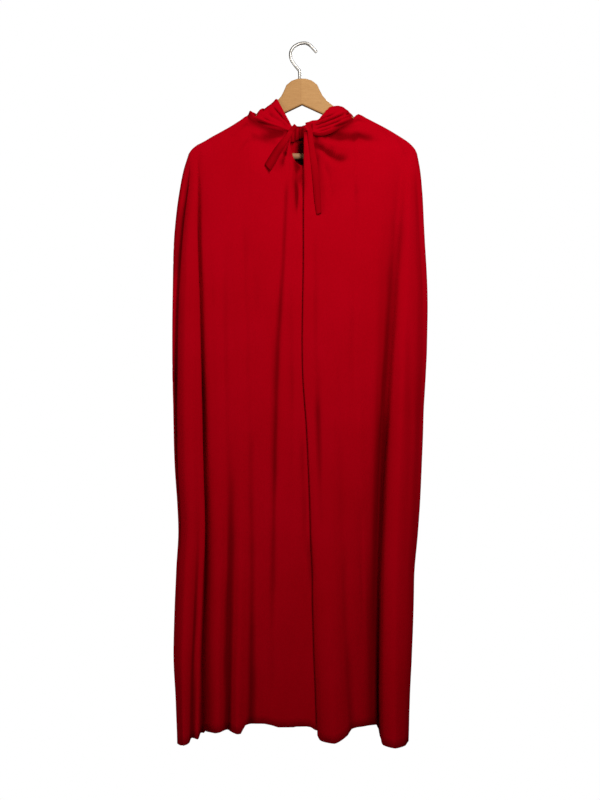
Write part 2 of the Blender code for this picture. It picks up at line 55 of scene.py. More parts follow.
cameraData = bpy.data.cameras.new("shopCamera")
cameraData.lens = cameraSetup["lens"]
cameraData.sensor_width = 36.0
cameraObject = bpy.data.objects.new("shopCamera", cameraData)
cameraObject.location = cameraSetup["place"]
cameraObject.rotation_euler = (math.radians(90.0), 0.0, 0.0)
bpy.context.scene.collection.objects.link(cameraObject)
bpy.context.scene.camera = cameraObject

lightSetup = {
    "highRight": {"place": (0.42, -1.05, 0.62), "aim": (0.0, 0.0, -0.30), "size": 0.26, "power": 12.6},
    "middleRight": {"place": (0.45, -1.25, -0.08), "aim": (0.0, 0.0, -0.30), "size": 0.30, "power": 12.0},
    "frontFill": {"place": (-1.30, -0.72, -0.30), "aim": (-0.1, 0.0, -0.50), "size": 0.8, "power": 9.0},
    "backHigh": {"place": (0.3, 1.8, 0.55), "aim": (0.0, 0.0, -0.60), "size": 0.8, "power": 30.0},
}
for lightName, facts in lightSetup.items():
    lamp = bpy.data.lights.new(lightName, "AREA")
    lamp.shape = "SQUARE"
    lamp.size = facts["size"]
    lamp.energy = facts["power"]
    lampObject = bpy.data.objects.new(lightName, lamp)
    lampObject.location = facts["place"]
    aim = Vector(facts["aim"]) - Vector(facts["place"])
    lampObject.rotation_euler = aim.to_track_quat("-Z", "Y").to_euler()
    bpy.context.scene.collection.objects.link(lampObject)

# strength of the room: as the camera sees it, as it lights, and as shiny pieces mirror its front and sides
worldSetup = {
    "seen": 1.0,
    "lighting": 0.04,
    "front": 0.60,
    "sides": 0.06,
    "frontUntil": -0.97,
    "sidesFrom": -0.60,
}
world = bpy.data.worlds.new("paleRoom")
bpy.context.scene.world = world
world.use_nodes = True
worldNodes = world.node_tree.nodes
worldLinks = world.node_tree.links
roomLight = worldNodes["Background"]
roomLight.inputs["Color"].default_value = (1.0, 1.0, 1.0, 1.0)
rayKind = worldNodes.new("ShaderNodeLightPath")
strengthMix = worldNodes.new("ShaderNodeMix")
strengthMix.data_type = "FLOAT"
strengthMix.inputs["A"].default_value = worldSetup["lighting"]
seenRays = worldNodes.new("ShaderNodeMath")
seenRays.operation = "MAXIMUM"
worldLinks.new(rayKind.outputs["Is Camera Ray"], seenRays.inputs[0])
worldLinks.new(rayKind.outputs["Is Glossy Ray"], seenRays.inputs[1])
worldLinks.new(seenRays.outputs[0], strengthMix.inputs["Factor"])
roomSide = worldNodes.new("ShaderNodeTexCoord")
roomSplit = worldNodes.new("ShaderNodeSeparateXYZ")
worldLinks.new(roomSide.outputs["Generated"], roomSplit.inputs[0])
sideDim = worldNodes.new("ShaderNodeMapRange")
sideDim.inputs["From Min"].default_value = worldSetup["frontUntil"]
sideDim.inputs["From Max"].default_value = worldSetup["sidesFrom"]
sideDim.inputs["To Min"].default_value = worldSetup["front"]
sideDim.inputs["To Max"].default_value = worldSetup["sides"]
worldLinks.new(roomSplit.outputs["Y"], sideDim.inputs["Value"])
cameraOrRoom = worldNodes.new("ShaderNodeMix")
cameraOrRoom.data_type = "FLOAT"
cameraOrRoom.inputs["B"].default_value = worldSetup["seen"]
worldLinks.new(rayKind.outputs["Is Camera Ray"], cameraOrRoom.inputs["Factor"])
worldLinks.new(sideDim.outputs["Result"], cameraOrRoom.inputs["A"])
worldLinks.new(cameraOrRoom.outputs["Result"], strengthMix.inputs["B"])
worldLinks.new(strengthMix.outputs["Result"], roomLight.inputs["Strength"])

# small helpers


def addNode(material, kind, place=(0, 0), **values):
    node = material.node_tree.nodes.new(kind)
    node.location = place
    for key, value in values.items():
        setattr(node, key, value)
    return node


def joinSockets(material, out, into):
    material.node_tree.links.new(out, into)


def startMaterial(name):
    material = bpy.data.materials.new(name)
    material.use_nodes = True
    return material, material.node_tree.nodes["Principled BSDF"]


def between(first, last, leave, arrive, t):
    # smooth curve from first to last, with the slopes it leaves and arrives with
    near = first * (1 + 2 * t) * (1 - t) ** 2 + leave * t * (1 - t) ** 2
    far = last * t * t * (3 - 2 * t) - arrive * t * t * (1 - t)
    return near + far


def alongTable(table, where):
    # smooth values of a table whose first column is the place
    rows = np.array(table, float)
    if rows[0, 0] > rows[-1, 0]:
        rows = rows[::-1]
    stops, values = rows[:, 0], rows[:, 1:]
    slopes = np.gradient(values, stops, axis=0)
    where = np.clip(np.asarray(where, float), stops[0], stops[-1])
    place = np.clip(np.searchsorted(stops, where, side="right") - 1, 0, len(stops) - 2)
    span = (stops[place + 1] - stops[place])[..., None]
    t = (where - stops[place])[..., None] / span
    return between(values[place], values[place + 1], slopes[place] * span, slopes[place + 1] * span, t)


def ease(t):
    t = np.clip(t, 0.0, 1.0)
    return t * t * (3 - 2 * t)


def finerLines(lines, counts, softness=0.85):
    # smooth lines between the given ones; counts says how many steps each gap takes
    step = np.maximum(np.linalg.norm(np.diff(lines, axis=0), axis=2), 0.05) ** 0.6
    run = step[..., None]
    chord = np.diff(lines, axis=0) / run
    slopes = np.empty_like(lines)
    slopes[1:-1] = (chord[:-1] * run[1:] + chord[1:] * run[:-1]) / (run[1:] + run[:-1])
    slopes[1:-1] *= softness
    slopes[0], slopes[-1] = chord[0], chord[-1]
    made = []
    for gap, count in enumerate(counts):
        leave, arrive = slopes[gap] * run[gap], slopes[gap + 1] * run[gap]
        for part in range(count):
            made.append(between(lines[gap], lines[gap + 1], leave, arrive, part / count))
    made.append(lines[-1])
    return np.array(made)


def gridNormals(grid):
    across = np.gradient(grid, axis=0)
    along = np.gradient(grid, axis=1)
    facing = np.cross(across, along)
    return facing / np.maximum(np.linalg.norm(facing, axis=2, keepdims=True), 1e-9)


def softened(values, acrossReach, alongReach):
    # running mean over a grid, edges repeated
    for axis, reach in ((0, acrossReach), (1, alongReach)):
        pad = [(0, 0)] * values.ndim
        pad[axis] = (reach, reach)
        padded = np.pad(values, pad, mode="edge")
        total = np.cumsum(padded, axis=axis)
        total = np.concatenate([np.zeros_like(np.take(total, [0], axis=axis)), total], axis=axis)
        width = 2 * reach + 1
        count = values.shape[axis]
        upper = np.take(total, range(width, width + count), axis=axis)
        lower = np.take(total, range(count), axis=axis)
        values = (upper - lower) / width
    return values


def valleyShade(grid, reach, full):
    # 0 on ridges and flat cloth, 1 in valleys that are full millimetres deep
    facing = gridNormals(grid)
    deep = ((softened(grid, *reach) - grid) * facing).sum(axis=2)
    return ease(softened(deep, 1, 1) / full)


def runAlong(grid, axis):
    # run of cloth from the first line or row, in mm
    steps = np.linalg.norm(np.diff(grid, axis=axis), axis=2)
    start = np.zeros_like(np.take(steps, [0], axis=axis))
    return np.concatenate([start, np.cumsum(steps, axis=axis)], axis=axis)


def clothPiece(name, grid, material, wall, shade):
    # grid holds lines of points in mm; the cloth gets a UV map in metres of cloth, and the shade painted
    # into its folds
    lines, rows = grid.shape[:2]
    mesh = bpy.data.meshes.new(name)
    index = np.arange(lines * rows).reshape(lines, rows)
    a, b = index[:-1, :-1], index[1:, :-1]
    c, d = index[1:, 1:], index[:-1, 1:]
    faces = np.stack([part.ravel() for part in (a, b, c, d)], axis=1)
    mesh.from_pydata((grid.reshape(-1, 3) * mm).tolist(), [], faces.tolist())
    spread = runAlong(grid, 0).mean(axis=1)[:, None] * np.ones((1, rows))
    uv = np.stack([spread, runAlong(grid, 1)], axis=2).reshape(-1, 2) * mm
    layer = mesh.uv_layers.new(name="clothRun")
    corners = np.empty(len(mesh.loops), np.int32)
    mesh.loops.foreach_get("vertex_index", corners)
    layer.data.foreach_set("uv", uv[corners].ravel())
    mesh.polygons.foreach_set("use_smooth", np.ones(len(mesh.polygons), bool))
    shadeLayer = mesh.attributes.new("foldShade", "FLOAT", "POINT")
    shadeLayer.data.foreach_set("value", shade.ravel().astype(np.float32))
    mesh.materials.append(material)
    piece = bpy.data.objects.new(name, mesh)
    bpy.context.scene.collection.objects.link(piece)
    thickness = piece.modifiers.new("wall", "SOLIDIFY")
    thickness.thickness = wall * mm
    thickness.offset = 0.0
    thickness.use_even_offset = False
    bpy.ops.object.select_all(action="DESELECT")
    bpy.context.view_layer.objects.active = piece
    piece.select_set(True)
    bpy.ops.object.modifier_apply(modifier="wall")
    # the inner side is told apart for the material, which paints it darker as shade inside the cape
    innerShade = np.zeros(len(mesh.polygons), np.float32)
    innerShade[len(faces): 2 * len(faces)] = 1.0
    mesh.attributes.new("innerSide", "FLOAT", "FACE").data.foreach_set("value", innerShade)
    return piece


def foldDepth(points, folds):
    # depth that soft folds give to points (x, z); each fold is a bent line with a soft cross section
    total = np.zeros(len(points))
    for x1, z1, x2, z2, x3, z3, depth, half in folds:
        best = np.full(len(points), 1e9)
        share = np.zeros(len(points))
        bend = [(x1, z1), (x2, z2), (x3, z3)]
        for part in range(2):
            start, end = np.array(bend[part], float), np.array(bend[part + 1], float)
            run = end - start
            t = np.clip((points - start) @ run / (run @ run), 0, 1)
            off = np.linalg.norm(points - start - t[:, None] * run, axis=1)
            nearer = off < best
            best = np.where(nearer, off, best)
            share = np.where(nearer, (part + t) / 2, share)
        fade = ease(share / 0.18 + 0.25) * (1 - ease((share - 0.5) / 0.5))
        total += depth * fade * np.exp(-((best / half) ** 2))
    return total


# floor
bpy.ops.mesh.primitive_plane_add(size=1.0)
floor = bpy.context.active_object
floor.name = "paleFloor"
halfX, halfY = cameraSetup["floorHalf"]
centreX, centreY = cameraSetup["floorCentre"]
for vertex in floor.data.vertices:
    vertex.co = (
        centreX + vertex.co.x * 2 * halfX,
        centreY + vertex.co.y * 2 * halfY,
        cameraSetup["floorHeight"],
    )
floorMaterial, floorShader = startMaterial("paleFloorPaint")
floorShader.inputs["Base Color"].default_value = (0.72, 0.72, 0.72, 1.0)
floorShader.inputs["Roughness"].default_value = 0.8
floor.data.materials.append(floorMaterial)

# materials
print("stage: materials")

clothLook = {
    "lit": (0.37, 0.0003, 0.0062),
    "deep": (0.31, 0.0002, 0.0034),
    "tieLit": (0.36, 0.0003, 0.0052),
    "tieDeep": (0.30, 0.0002, 0.0036),
    # the casing's colours are painted darker than the body cloth, as shade inside the neck
    "casingLit": (0.34, 0.0003, 0.0050),
    "casingDeep": (0.22, 0.0002, 0.0030),
    # painted shade for the inner side of the cloth, inside the cape
    "innerShade": (0.30, 0.0002, 0.0040),
    # painted shade: the near-black red that fold valleys, seams and tie ends are painted towards
    "paintedShadeTone": (0.085, 0.0001, 0.0010),
    "roughness": 0.9,
    "sheen": 0.05,
    "sheenRoughness": 0.45,
    "sheenTint": (1.0, 0.0, 0.02),
    "ribsPerMetre": 900.0,
    "rowsPerMetre": 700.0,
    "cloudScale": 9.0,
    "lintScale": 260.0,
    "lintShare": 0.35,
    "knitShare": 0.5,
    "bumpStrength": 0.35,
    "bumpDepth": 0.0003,
}


def knitCloth(name, lit, deep):
    # a fine knit: ribs along the cloth, small loops across them, and uneven dye
    material, shader = startMaterial(name)
    run = addNode(material, "ShaderNodeTexCoord", (-1400, 0))
    split = addNode(material, "ShaderNodeSeparateXYZ", (-1200, 0))
    joinSockets(material, run.outputs["UV"], split.inputs[0])
    ribs = addNode(material, "ShaderNodeMath", (-1000, 100), operation="MULTIPLY")
    ribs.inputs[1].default_value = clothLook["ribsPerMetre"] * 2 * math.pi
    joinSockets(material, split.outputs["X"], ribs.inputs[0])
    loops = addNode(material, "ShaderNodeMath", (-1000, -100), operation="MULTIPLY")
    loops.inputs[1].default_value = clothLook["rowsPerMetre"] * 2 * math.pi
    joinSockets(material, split.outputs["Y"], loops.inputs[0])
    ribWave = addNode(material, "ShaderNodeMath", (-800, 100), operation="COSINE")
    loopWave = addNode(material, "ShaderNodeMath", (-800, -100), operation="SINE")
    joinSockets(material, ribs.outputs[0], ribWave.inputs[0])
    joinSockets(material, loops.outputs[0], loopWave.inputs[0])
    knit = addNode(material, "ShaderNodeMath", (-600, 0), operation="MULTIPLY")
    joinSockets(material, ribWave.outputs[0], knit.inputs[0])
    joinSockets(material, loopWave.outputs[0], knit.inputs[1])
    cloud = addNode(material, "ShaderNodeTexNoise", (-1000, -400))
    cloud.inputs["Scale"].default_value = clothLook["cloudScale"]
    cloud.inputs["Detail"].default_value = 4.0
    joinSockets(material, run.outputs["Object"], cloud.inputs["Vector"])
    lint = addNode(material, "ShaderNodeTexNoise", (-1000, -650))
    lint.inputs["Scale"].default_value = clothLook["lintScale"]
    lint.inputs["Detail"].default_value = 2.0
    joinSockets(material, run.outputs["Object"], lint.inputs["Vector"])
    tone = addNode(material, "ShaderNodeMix", (-400, -300), data_type="RGBA")
    tone.inputs["A"].default_value = (*deep, 1.0)
    tone.inputs["B"].default_value = (*lit, 1.0)
    both = addNode(material, "ShaderNodeMath", (-700, -400), operation="MULTIPLY_ADD")
    both.inputs[1].default_value = clothLook["lintShare"]
    joinSockets(material, lint.outputs["Fac"], both.inputs[0])
    joinSockets(material, cloud.outputs["Fac"], both.inputs[2])
    joinSockets(material, both.outputs[0], tone.inputs["Factor"])
    # painted shade: the inner side of the cloth gets a darker colour, for the inside of the cape
    innerSide = addNode(material, "ShaderNodeAttribute", (-400, 150), attribute_name="innerSide")
    innerShaded = addNode(material, "ShaderNodeMix", (-200, -150), data_type="RGBA")
    innerShaded.inputs["B"].default_value = (*clothLook["innerShade"], 1.0)
    joinSockets(material, innerSide.outputs["Fac"], innerShaded.inputs["Factor"])
    joinSockets(material, tone.outputs["Result"], innerShaded.inputs["A"])
    # painted shade: foldShade darkens the colour towards a near-black red in folds, at seams and on the tie
    # ends
    foldShade = addNode(material, "ShaderNodeAttribute", (-200, 300), attribute_name="foldShade")
    shaded = addNode(material, "ShaderNodeMix", (0, -50), data_type="RGBA")
    shaded.inputs["B"].default_value = (*clothLook["paintedShadeTone"], 1.0)
    joinSockets(material, foldShade.outputs["Fac"], shaded.inputs["Factor"])
    joinSockets(material, innerShaded.outputs["Result"], shaded.inputs["A"])
    joinSockets(material, shaded.outputs["Result"], shader.inputs["Base Color"])
    bump = addNode(material, "ShaderNodeBump", (-300, -600))
    bump.inputs["Strength"].default_value = clothLook["bumpStrength"]
    bump.inputs["Distance"].default_value = clothLook["bumpDepth"]
    height = addNode(material, "ShaderNodeMath", (-500, -600), operation="MULTIPLY_ADD")
    height.inputs[1].default_value = clothLook["knitShare"]
    joinSockets(material, knit.outputs[0], height.inputs[0])
    joinSockets(material, lint.outputs["Fac"], height.inputs[2])
    joinSockets(material, height.outputs[0], bump.inputs["Height"])
    joinSockets(material, bump.outputs["Normal"], shader.inputs["Normal"])
    shader.inputs["Roughness"].default_value = clothLook["roughness"]
    shader.inputs["Specular IOR Level"].default_value = 0.0
    shader.inputs["Sheen Weight"].default_value = clothLook["sheen"]
    shader.inputs["Sheen Roughness"].default_value = clothLook["sheenRoughness"]
    shader.inputs["Sheen Tint"].default_value = (*clothLook["sheenTint"], 1.0)
    return material


bodyCloth = knitCloth("redBodyKnit", clothLook["lit"], clothLook["deep"])
hoodCloth = knitCloth("redHoodKnit", clothLook["lit"], clothLook["deep"])
tieCloth = knitCloth("redTieKnit", clothLook["tieLit"], clothLook["tieDeep"])
casingCloth = knitCloth("redCasingKnit", clothLook["casingLit"], clothLook["casingDeep"])

# body of the cape
print("stage: body of the cape")

bodySetup = {
    "wall": 0.8,
    "rows": 126,
    "rowPower": 1.85,
    "topStation": -300.0,
    "midStation": -767.0,
    "hemStation": -1345.0,
    "neckLeft": -113.0,
    "neckRight": 99.0,
    "ridgeHalf": 7.8,
    "ridgeDrop": 6.0,
    "settleRun": 160.0,
    "armRun": 120.0,
    "seamRun": 110.0,
    "outlineLeft": -255.0,
    "outlineRight": 235.0,
    "outlineReach": 60.0,
    "hemPower": 1.3,
    "sideHems": ((-1380, 23), (-1370, 38)),
    "lineStep": 3.8,
    "lowRowShare": 0.8,
    "hemTurn": 12.0,
    "edgeTurn": 11.0,
    "edgeLines": 3,
    "leftEdgeReach": 30,
    "rightEdgeReach": 16,
    "shade": 0.72,
    "seamShade": 0.75,
    "seamReach": 8.0,
    "laidLimit": 0.8,
    "valleyReach": (3, 2),
    "valleyDepth": 1.7,
    "turnGap": 1.4,
    "waver": 1.3,
    "hemReach": 6,
    "hemFitFrom": 950.0,
    "hemFitRun": 240.0,
    "leftFrontEnd": 22.0,
}

# side outline: height, left, right
sideOutline = (
    (-219, -231, 225),
    (-251, -241, 231),
    (-291, -249, 235),
    (-371, -259, 239),
    (-491, -263, 245),
    (-611, -264, 245),
    (-731, -262, 239),
    (-850, -258, 234),
    (-969, -251, 226),
    (-1047, -254, 219),
    (-1125, -257, 216),
    (-1220, -259, 211),
    (-1295, -255, 206),
    (-1375, -251, 203),
)

# top line over the hanger arms: x, height
shoulderLeft = (
    (-231, -218.8),
    (-225, -210.8),
    (-217, -203.6),
    (-201, -194.8),
    (-185, -185.2),
    (-161, -172.0),
    (-145, -162.8),
    (-129, -152.8),
    (-121, -147.2),
    (-113, -142.4),
)
shoulderRight = (
    (99, -145.8),
    (103.5, -142.4),
    (108, -139.4),
    (117, -143.2),
    (127, -150.2),
    (143, -157.5),
    (167, -170.4),
    (183, -180.4),
    (199, -190.0),
    (215, -203.2),
    (221, -210.8),
    (225, -218.8),
)

# neckline seam: x, depth, height
neckFrontLeft = (
    (-113, -8.4, -149.5),
    (-104, -9.6, -156.5),
    (-81, -10.5, -165.7),
    (-57, -12.5, -173.0),
    (-39, -15, -176.4),
    (-25, -18, -179.0),
)
neckFrontRight = (
    (-1, -25, -180.0),
    (23, -21, -186.4),
    (47, -17, -183.5),
    (59, -14, -176.5),
    (79, -11, -164.2),
    (91, -9.8, -157.0),
    (99, -8.6, -151.0),
)
neckBack = (
    (-113, 8.4, -149.5),
    (-95, 9.8, -153.5),
    (-50, 11, -159.0),
    (-5, 12, -161.5),
    (40, 11, -159.0),
    (84, 9.8, -153.5),
    (99, 8.6, -150.5),
)

# fold lines: x at top, half way and hem; depth at chest, half way and hem; hem height
leftFront = (
    (-227, -253, -250, -3, 6, -36, -1381),
    (-225, -251, -243, -12, -16, -62, -1376),
    (-222, -234, -232, -18, -38, -82, -1371),
    (-220.5, -221, -224, -20, -42, -78, -1366),
    (-219, -210, -217, -20, -39, -69, -1354),
    (-216, -201, -205, -18, -34, -76, -1358),
    (-213, -203, -202, -11, -8, -38, -1361),
    (-202, -193, -188, -17, -23, -52, -1351),
    (-186, -170, -166, -21, -30, -62, -1347),
    (-166, -149, -151, -23, -31.5, -43, -1351),
    (-146, -128, -130, -24, -36, -66, -1354),
    (-127, -105, -104, -25, -34.8, -49.5, -1344),
    (-114, -97, -93, -25, -36, -50, -1343),
    (-110, -91, -86, -25, -37, -50, -1342),
    (-68, -72, -76, -26, -38, -50, -1344),
    (-44, -58, -66, -25.4, -33.6, -50, -1347),
    (-36, -45, -46, -26, -38, -50, -1351),
    (-31, -23, -12, -24, -38, -49, -1352),
    (-26, 22, 34, -20, -36, -47, -1349),
)
rightFront = (
    (-1, 4, 25, -28.5, -42.5, -54, -1365),
    (7, 15, 34, -29, -44.5, -68, -1373),
    (19, 30, 56, -28, -43, -80, -1370),
    (33, 46, 74, -27, -46, -74, -1366),
    (51, 63, 91, -27, -46, -60, -1348),
    (71, 83, 109, -26, -46, -53, -1348),
    (96.5, 103, 123, -25, -45, -46, -1350),
    (100, 111, 127, -24, -44, -43, -1350),
    (107.5, 115, 129, -24, -43, -41, -1350),
    (123, 120, 132, -23, -42, -38, -1349),
    (162, 136, 139, -20, -38, -30, -1349),
    (194, 153, 146, -13, -12, -23, -1352),
    (203, 162, 148.5, -14, -18, -44, -1367),
    (209, 169, 151, -17, -33, -76, -1376),
    (214, 188, 172, -18, -42, -90, -1374),
    (218, 214, 192, -13, -30, -78, -1372),
    (221, 229, 201, -6, -10, -56, -1373),
)
backFolds = (
    (219, 234, 200, 8, 16, -18, -1366),
    (206, 216, 184, 11, 30, 28, -1353),
    (190, 190, 164, 12, 18, 14, -1351),
    (164, 158, 142, 13, 32, 40, -1348),
    (140, 134, 120, 13, 27, 30, -1347),
    (122, 112, 106, 13, 17, 12, -1350),
    (107.5, 101, 97, 13, 20, 17, -1349),
    (100, 94, 92, 13, 22, 22, -1348),
    (96.5, 76, 76, 14, 27, 34, -1346),
    (60, 48, 54, 13, 19, 17, -1349),
    (36, 26, 34, 14, 26, 31, -1346),
    (12, 0, 6, 14, 24, 27, -1345),
    (-8, -22, -14, 13, 18, 13, -1348),
    (-30, -44, -34, 14, 29, 39, -1346),
    (-62, -72, -56, 13, 20, 16, -1350),
    (-110, -104, -84, 14, 27, 36, -1348),
    (-114, -124, -104, 13, 23, 26, -1350),
    (-134, -146, -124, 13, 16, 10, -1353),
    (-164, -180, -156, 12, 33, 42, -1350),
    (-192, -208, -184, 11, 19, 14, -1354),
    (-212, -230, -208, 10, 29, 31, -1360),
    (-224, -250, -232, 6, 18, -8, -1372),
)

# folds that pull from the ties: x and height at the tie, x and height at the far end, depth, half width
pullFolds = (
    (25, -203, 78, -236, 4.0, 8),
    (52, -186, 170, -196, 3.5, 14),
    (-36, -214, -60, -270, 2.0, 7),
    (-44, -184, -112, -168, 2.5, 7),
)


def throughThree(stations, values, where):
    (a, b, c), (p, q, r) = stations, values
    first = p * (where - b) * (where - c) / ((a - b) * (a - c))
    second = q * (where - a) * (where - c) / ((b - a) * (b - c))
    third = r * (where - a) * (where - b) / ((c - a) * (c - b))
    return first + second + third


def topOfCloth(x, front):
    # depth and height of the cloth's top at x, and whether it lies over an arm there
    if x <= bodySetup["neckLeft"]:
        return 0.0, float(alongTable(shoulderLeft, x)[0]), True
    if x >= bodySetup["neckRight"]:
        return 0.0, float(alongTable(shoulderRight, x)[0]), True
    table = neckBack if not front else neckFrontLeft if x < -13 else neckFrontRight
    depth, height = alongTable(table, x)
    return float(depth), float(height), False


def outlineSwing(z, side):
    # how far the outline leaves the bend through its three stations
    marks = (bodySetup["topStation"], bodySetup["midStation"], bodySetup["hemStation"])
    smooth = [float(alongTable(sideOutline, mark)[side]) for mark in marks]
    return alongTable(sideOutline, z)[..., side] - throughThree(marks, smooth, z)


def pullDepth(x, z):
    total = np.zeros_like(x)
    for x1, z1, x2, z2, depth, half in pullFolds:
        run = np.array([x2 - x1, z2 - z1], float)
        length = np.linalg.norm(run)
        run /= length
        share = ((x - x1) * run[0] + (z - z1) * run[1]) / length
        off = np.abs((x - x1) * run[1] - (z - z1) * run[0])
        fade = ease((share + 0.15) / 0.25) * (1 - ease((share - 0.45) / 0.65))
        total += depth * fade * np.exp(-((off / half) ** 2))
    return total


rowShares = np.linspace(0, 1, bodySetup["rows"]) ** bodySetup["rowPower"]


def foldLine(line, front):
    xTop, xMiddle, xHem, dTop, dMiddle, dHem, zHem = line
    yStart, zStart, onArm = topOfCloth(xTop, front)
    sign = -1.0 if front else 1.0
    top, middle, hem = bodySetup["topStation"], bodySetup["midStation"], bodySetup["hemStation"]
    z = zStart + (zHem - zStart) * rowShares
    x = throughThree((zStart, middle, hem), (xTop, xMiddle, xHem), z)
    below = zStart - z
    settle = ease(below / bodySetup["settleRun"])
    leftPull = np.exp(-np.maximum(x - bodySetup["outlineLeft"], 0) / bodySetup["outlineReach"])
    x = x + settle * leftPull * outlineSwing(z, 0)
    rightPull = np.exp(-np.maximum(bodySetup["outlineRight"] - x, 0) / bodySetup["outlineReach"])
    x = x + settle * rightPull * outlineSwing(z, 1)
    upper = dTop + (dMiddle - dTop) * np.clip((top - z) / (top - middle), 0, 1)
    lowShare = np.clip((middle - z) / (middle - hem), 0, 1.06)
    depth = np.where(z > middle, upper, dMiddle + (dHem - dMiddle) * lowShare ** bodySetup["hemPower"])
    half = bodySetup["ridgeHalf"]
    if onArm:
        y = sign * half * np.sqrt(1 - (1 - np.minimum(below / bodySetup["ridgeDrop"], 1)) ** 2)
        y = y + (depth - sign * half) * ease((below - 3) / bodySetup["armRun"])
    else:
        y = yStart + (depth - yStart) * ease(below / bodySetup["seamRun"])
    if front:
        y = y + pullDepth(x, z)
    return np.stack([x, y, z], axis=1)


def sideLine(side):
    zStart = sideOutline[0][0]
    zHem, hemDepth = bodySetup["sideHems"][side]
    z = zStart + (zHem - zStart) * rowShares
    x = alongTable(sideOutline, z)[:, side]
    middle, hem = bodySetup["midStation"], bodySetup["hemStation"]
    low = np.clip((middle - z) / (middle - hem), 0, None)
    return np.stack([x, -1 - hemDepth * low**1.5, z], axis=1)


leftLines = [foldLine(line, True) for line in leftFront]
rightLines = [foldLine(line, True) for line in rightFront]
backLines = [foldLine(line, False) for line in backFolds]
roughLines = leftLines[::-1] + [sideLine(0)] + backLines[::-1] + [sideLine(1)] + rightLines[::-1]
roughLines = np.array(roughLines)
# finer lines are spaced by how far apart the fold lines run low down
lowRow = int(bodySetup["rows"] * bodySetup["lowRowShare"])
gapWidths = np.linalg.norm(np.diff(roughLines[:, lowRow], axis=0), axis=1)
gapCounts = [int(max(2, round(width / bodySetup["lineStep"]))) for width in gapWidths]
bodyGrid = finerLines(roughLines, gapCounts)
print("body lines", bodyGrid.shape)

# small folds that the big ones don't hold: x and height of three points, depth, half width
frontCreases = (
    # left of the opening, under the tie
    (-22, -176, -29, -192, -37, -216, -2.6, 3.8),
    (-30, -192, -42, -225, -50, -262, 3.2, 4.0),
    (-24, -200, -30, -240, -34, -300, 2.6, 4.0),
    (-14, -236, -8, -268, -3, -330, 7.5, 7.0),
    (-12, -262, -14, -310, -16, -362, 3.0, 3.6),
    (-18, -232, -17, -272, -14, -345, 5.5, 4.2),
    (-35, -262, -42, -440, -56, -700, 3.4, 5.6),
    (-26, -232, -19, -262, -10, -300, -2.4, 4.0),
    (-36, -222, -40, -224, -43, -228, 4.2, 3.0),
    (-18, -225, -20, -280, -14, -370, 2.8, 4.5),
    (-40, -214, -58, -226, -84, -250, 2.4, 5.0),
    (-62, -190, -80, -222, -98, -262, 2.0, 7.0),
    (-52, -184, -84, -186, -120, -206, 2.6, 6.0),
    (-88, -174, -114, -200, -146, -232, 1.8, 8.0),
    (-108, -160, -138, -180, -172, -205, 1.8, 7.0),
    (-46, -250, -52, -300, -56, -380, 0.9, 6.0),
    (-66, -262, -74, -330, -78, -420, 1.6, 8.0),
    # right of the opening
    (4, -184, 7, -222, 10, -275, -3.0, 4.2),
    (20, -196, 24, -240, 32, -330, 2.6, 5.0),
    (18, -166, 23, -184, 30, -212, 4.5, 4.5),
    (24, -205, 62, -229, 112, -241, 5.4, 4.0),
    (26, -218, 52, -246, 90, -273, -2.8, 6.0),
    (24, -183, 92, -185, 160, -194, 5.4, 9.0),
    (30, -197, 76, -210, 144, -219, -3.0, 6.0),
    (64, -171, 100, -168, 140, -172, -1.2, 4.0),
    (70, -172, 104, -168, 132, -170, 2.4, 4.0),
    (92, -158, 112, -156, 130, -160, 1.6, 3.6),
    (21, -380, 23, -560, 26, -760, 0.6, 5.0),
    (25, -700, 28, -860, 33, -1060, 1.5, 5.0),
    (38, -226, 52, -272, 62, -344, 1.2, 7.0),
    (70, -244, 100, -296, 112, -384, 0.9, 10.0),
    # over the arms
    (-150, -168, -176, -196, -196, -236, 1.2, 7.0),
    (-186, -190, -206, -222, -216, -272, 1.3, 6.0),
    (140, -160, 166, -186, 184, -226, 1.2, 7.0),
    (176, -180, 196, -212, 206, -268, 1.4, 6.0),
    # long soft ones down the panels
    (-118, -330, -114, -560, -116, -900, 1.0, 10.0),
    (-134, -520, -134, -840, -142, -1200, 1.2, 9.0),
    (-92, -420, -86, -760, -80, -1180, 1.0, 9.0),
    (-30, -430, -24, -700, -26, -1060, 1.7, 8.0),
    (-6, -760, 2, -980, 8, -1230, 1.6, 7.0),
    (9, -985, 14, -1045, 13, -1105, 2.4, 4.0),
    (40, -420, 44, -700, 52, -1000, 0.9, 9.0),
    (66, -620, 72, -880, 88, -1200, 0.9, 10.0),
    (96, -380, 92, -640, 100, -940, 1.3, 10.0),
    (108, -900, 112, -1080, 116, -1300, 1.8, 8.0),
    (186, -420, 190, -700, 178, -1040, -1.5, 9.0),
    (206, -560, 208, -820, 190, -1160, 1.4, 7.0),
    (-176, -420, -168, -700, -166, -1020, -1.6, 8.0),
    (-222, -380, -228, -640, -226, -980, 1.4, 6.0),
)
rearCreases = (
    (-70, -172, -84, -220, -96, -300, 1.8, 6.0),
    (-30, -176, -36, -240, -40, -330, 1.6, 6.0),
    (10, -174, 14, -230, 20, -320, 1.8, 6.0),
    (52, -172, 62, -224, 74, -300, 1.6, 6.0),
    (88, -164, 104, -210, 120, -280, 1.5, 6.0),
    (-104, -160, -124, -206, -140, -280, 1.5, 6.0),
    (-150, -400, -158, -700, -150, -1080, 1.8, 9.0),
    (-92, -480, -90, -760, -82, -1120, -1.6, 9.0),
    (-10, -420, -4, -740, 0, -1100, 1.8, 9.0),
    (48, -520, 44, -800, 50, -1160, -1.5, 8.0),
    (104, -400, 100, -720, 98, -1100, 1.7, 9.0),
    (150, -460, 146, -780, 136, -1140, -1.6, 9.0),
    (-196, -420, -206, -700, -196, -1060, 1.5, 8.0),
    (186, -380, 190, -680, 172, -1020, 1.6, 8.0),
)
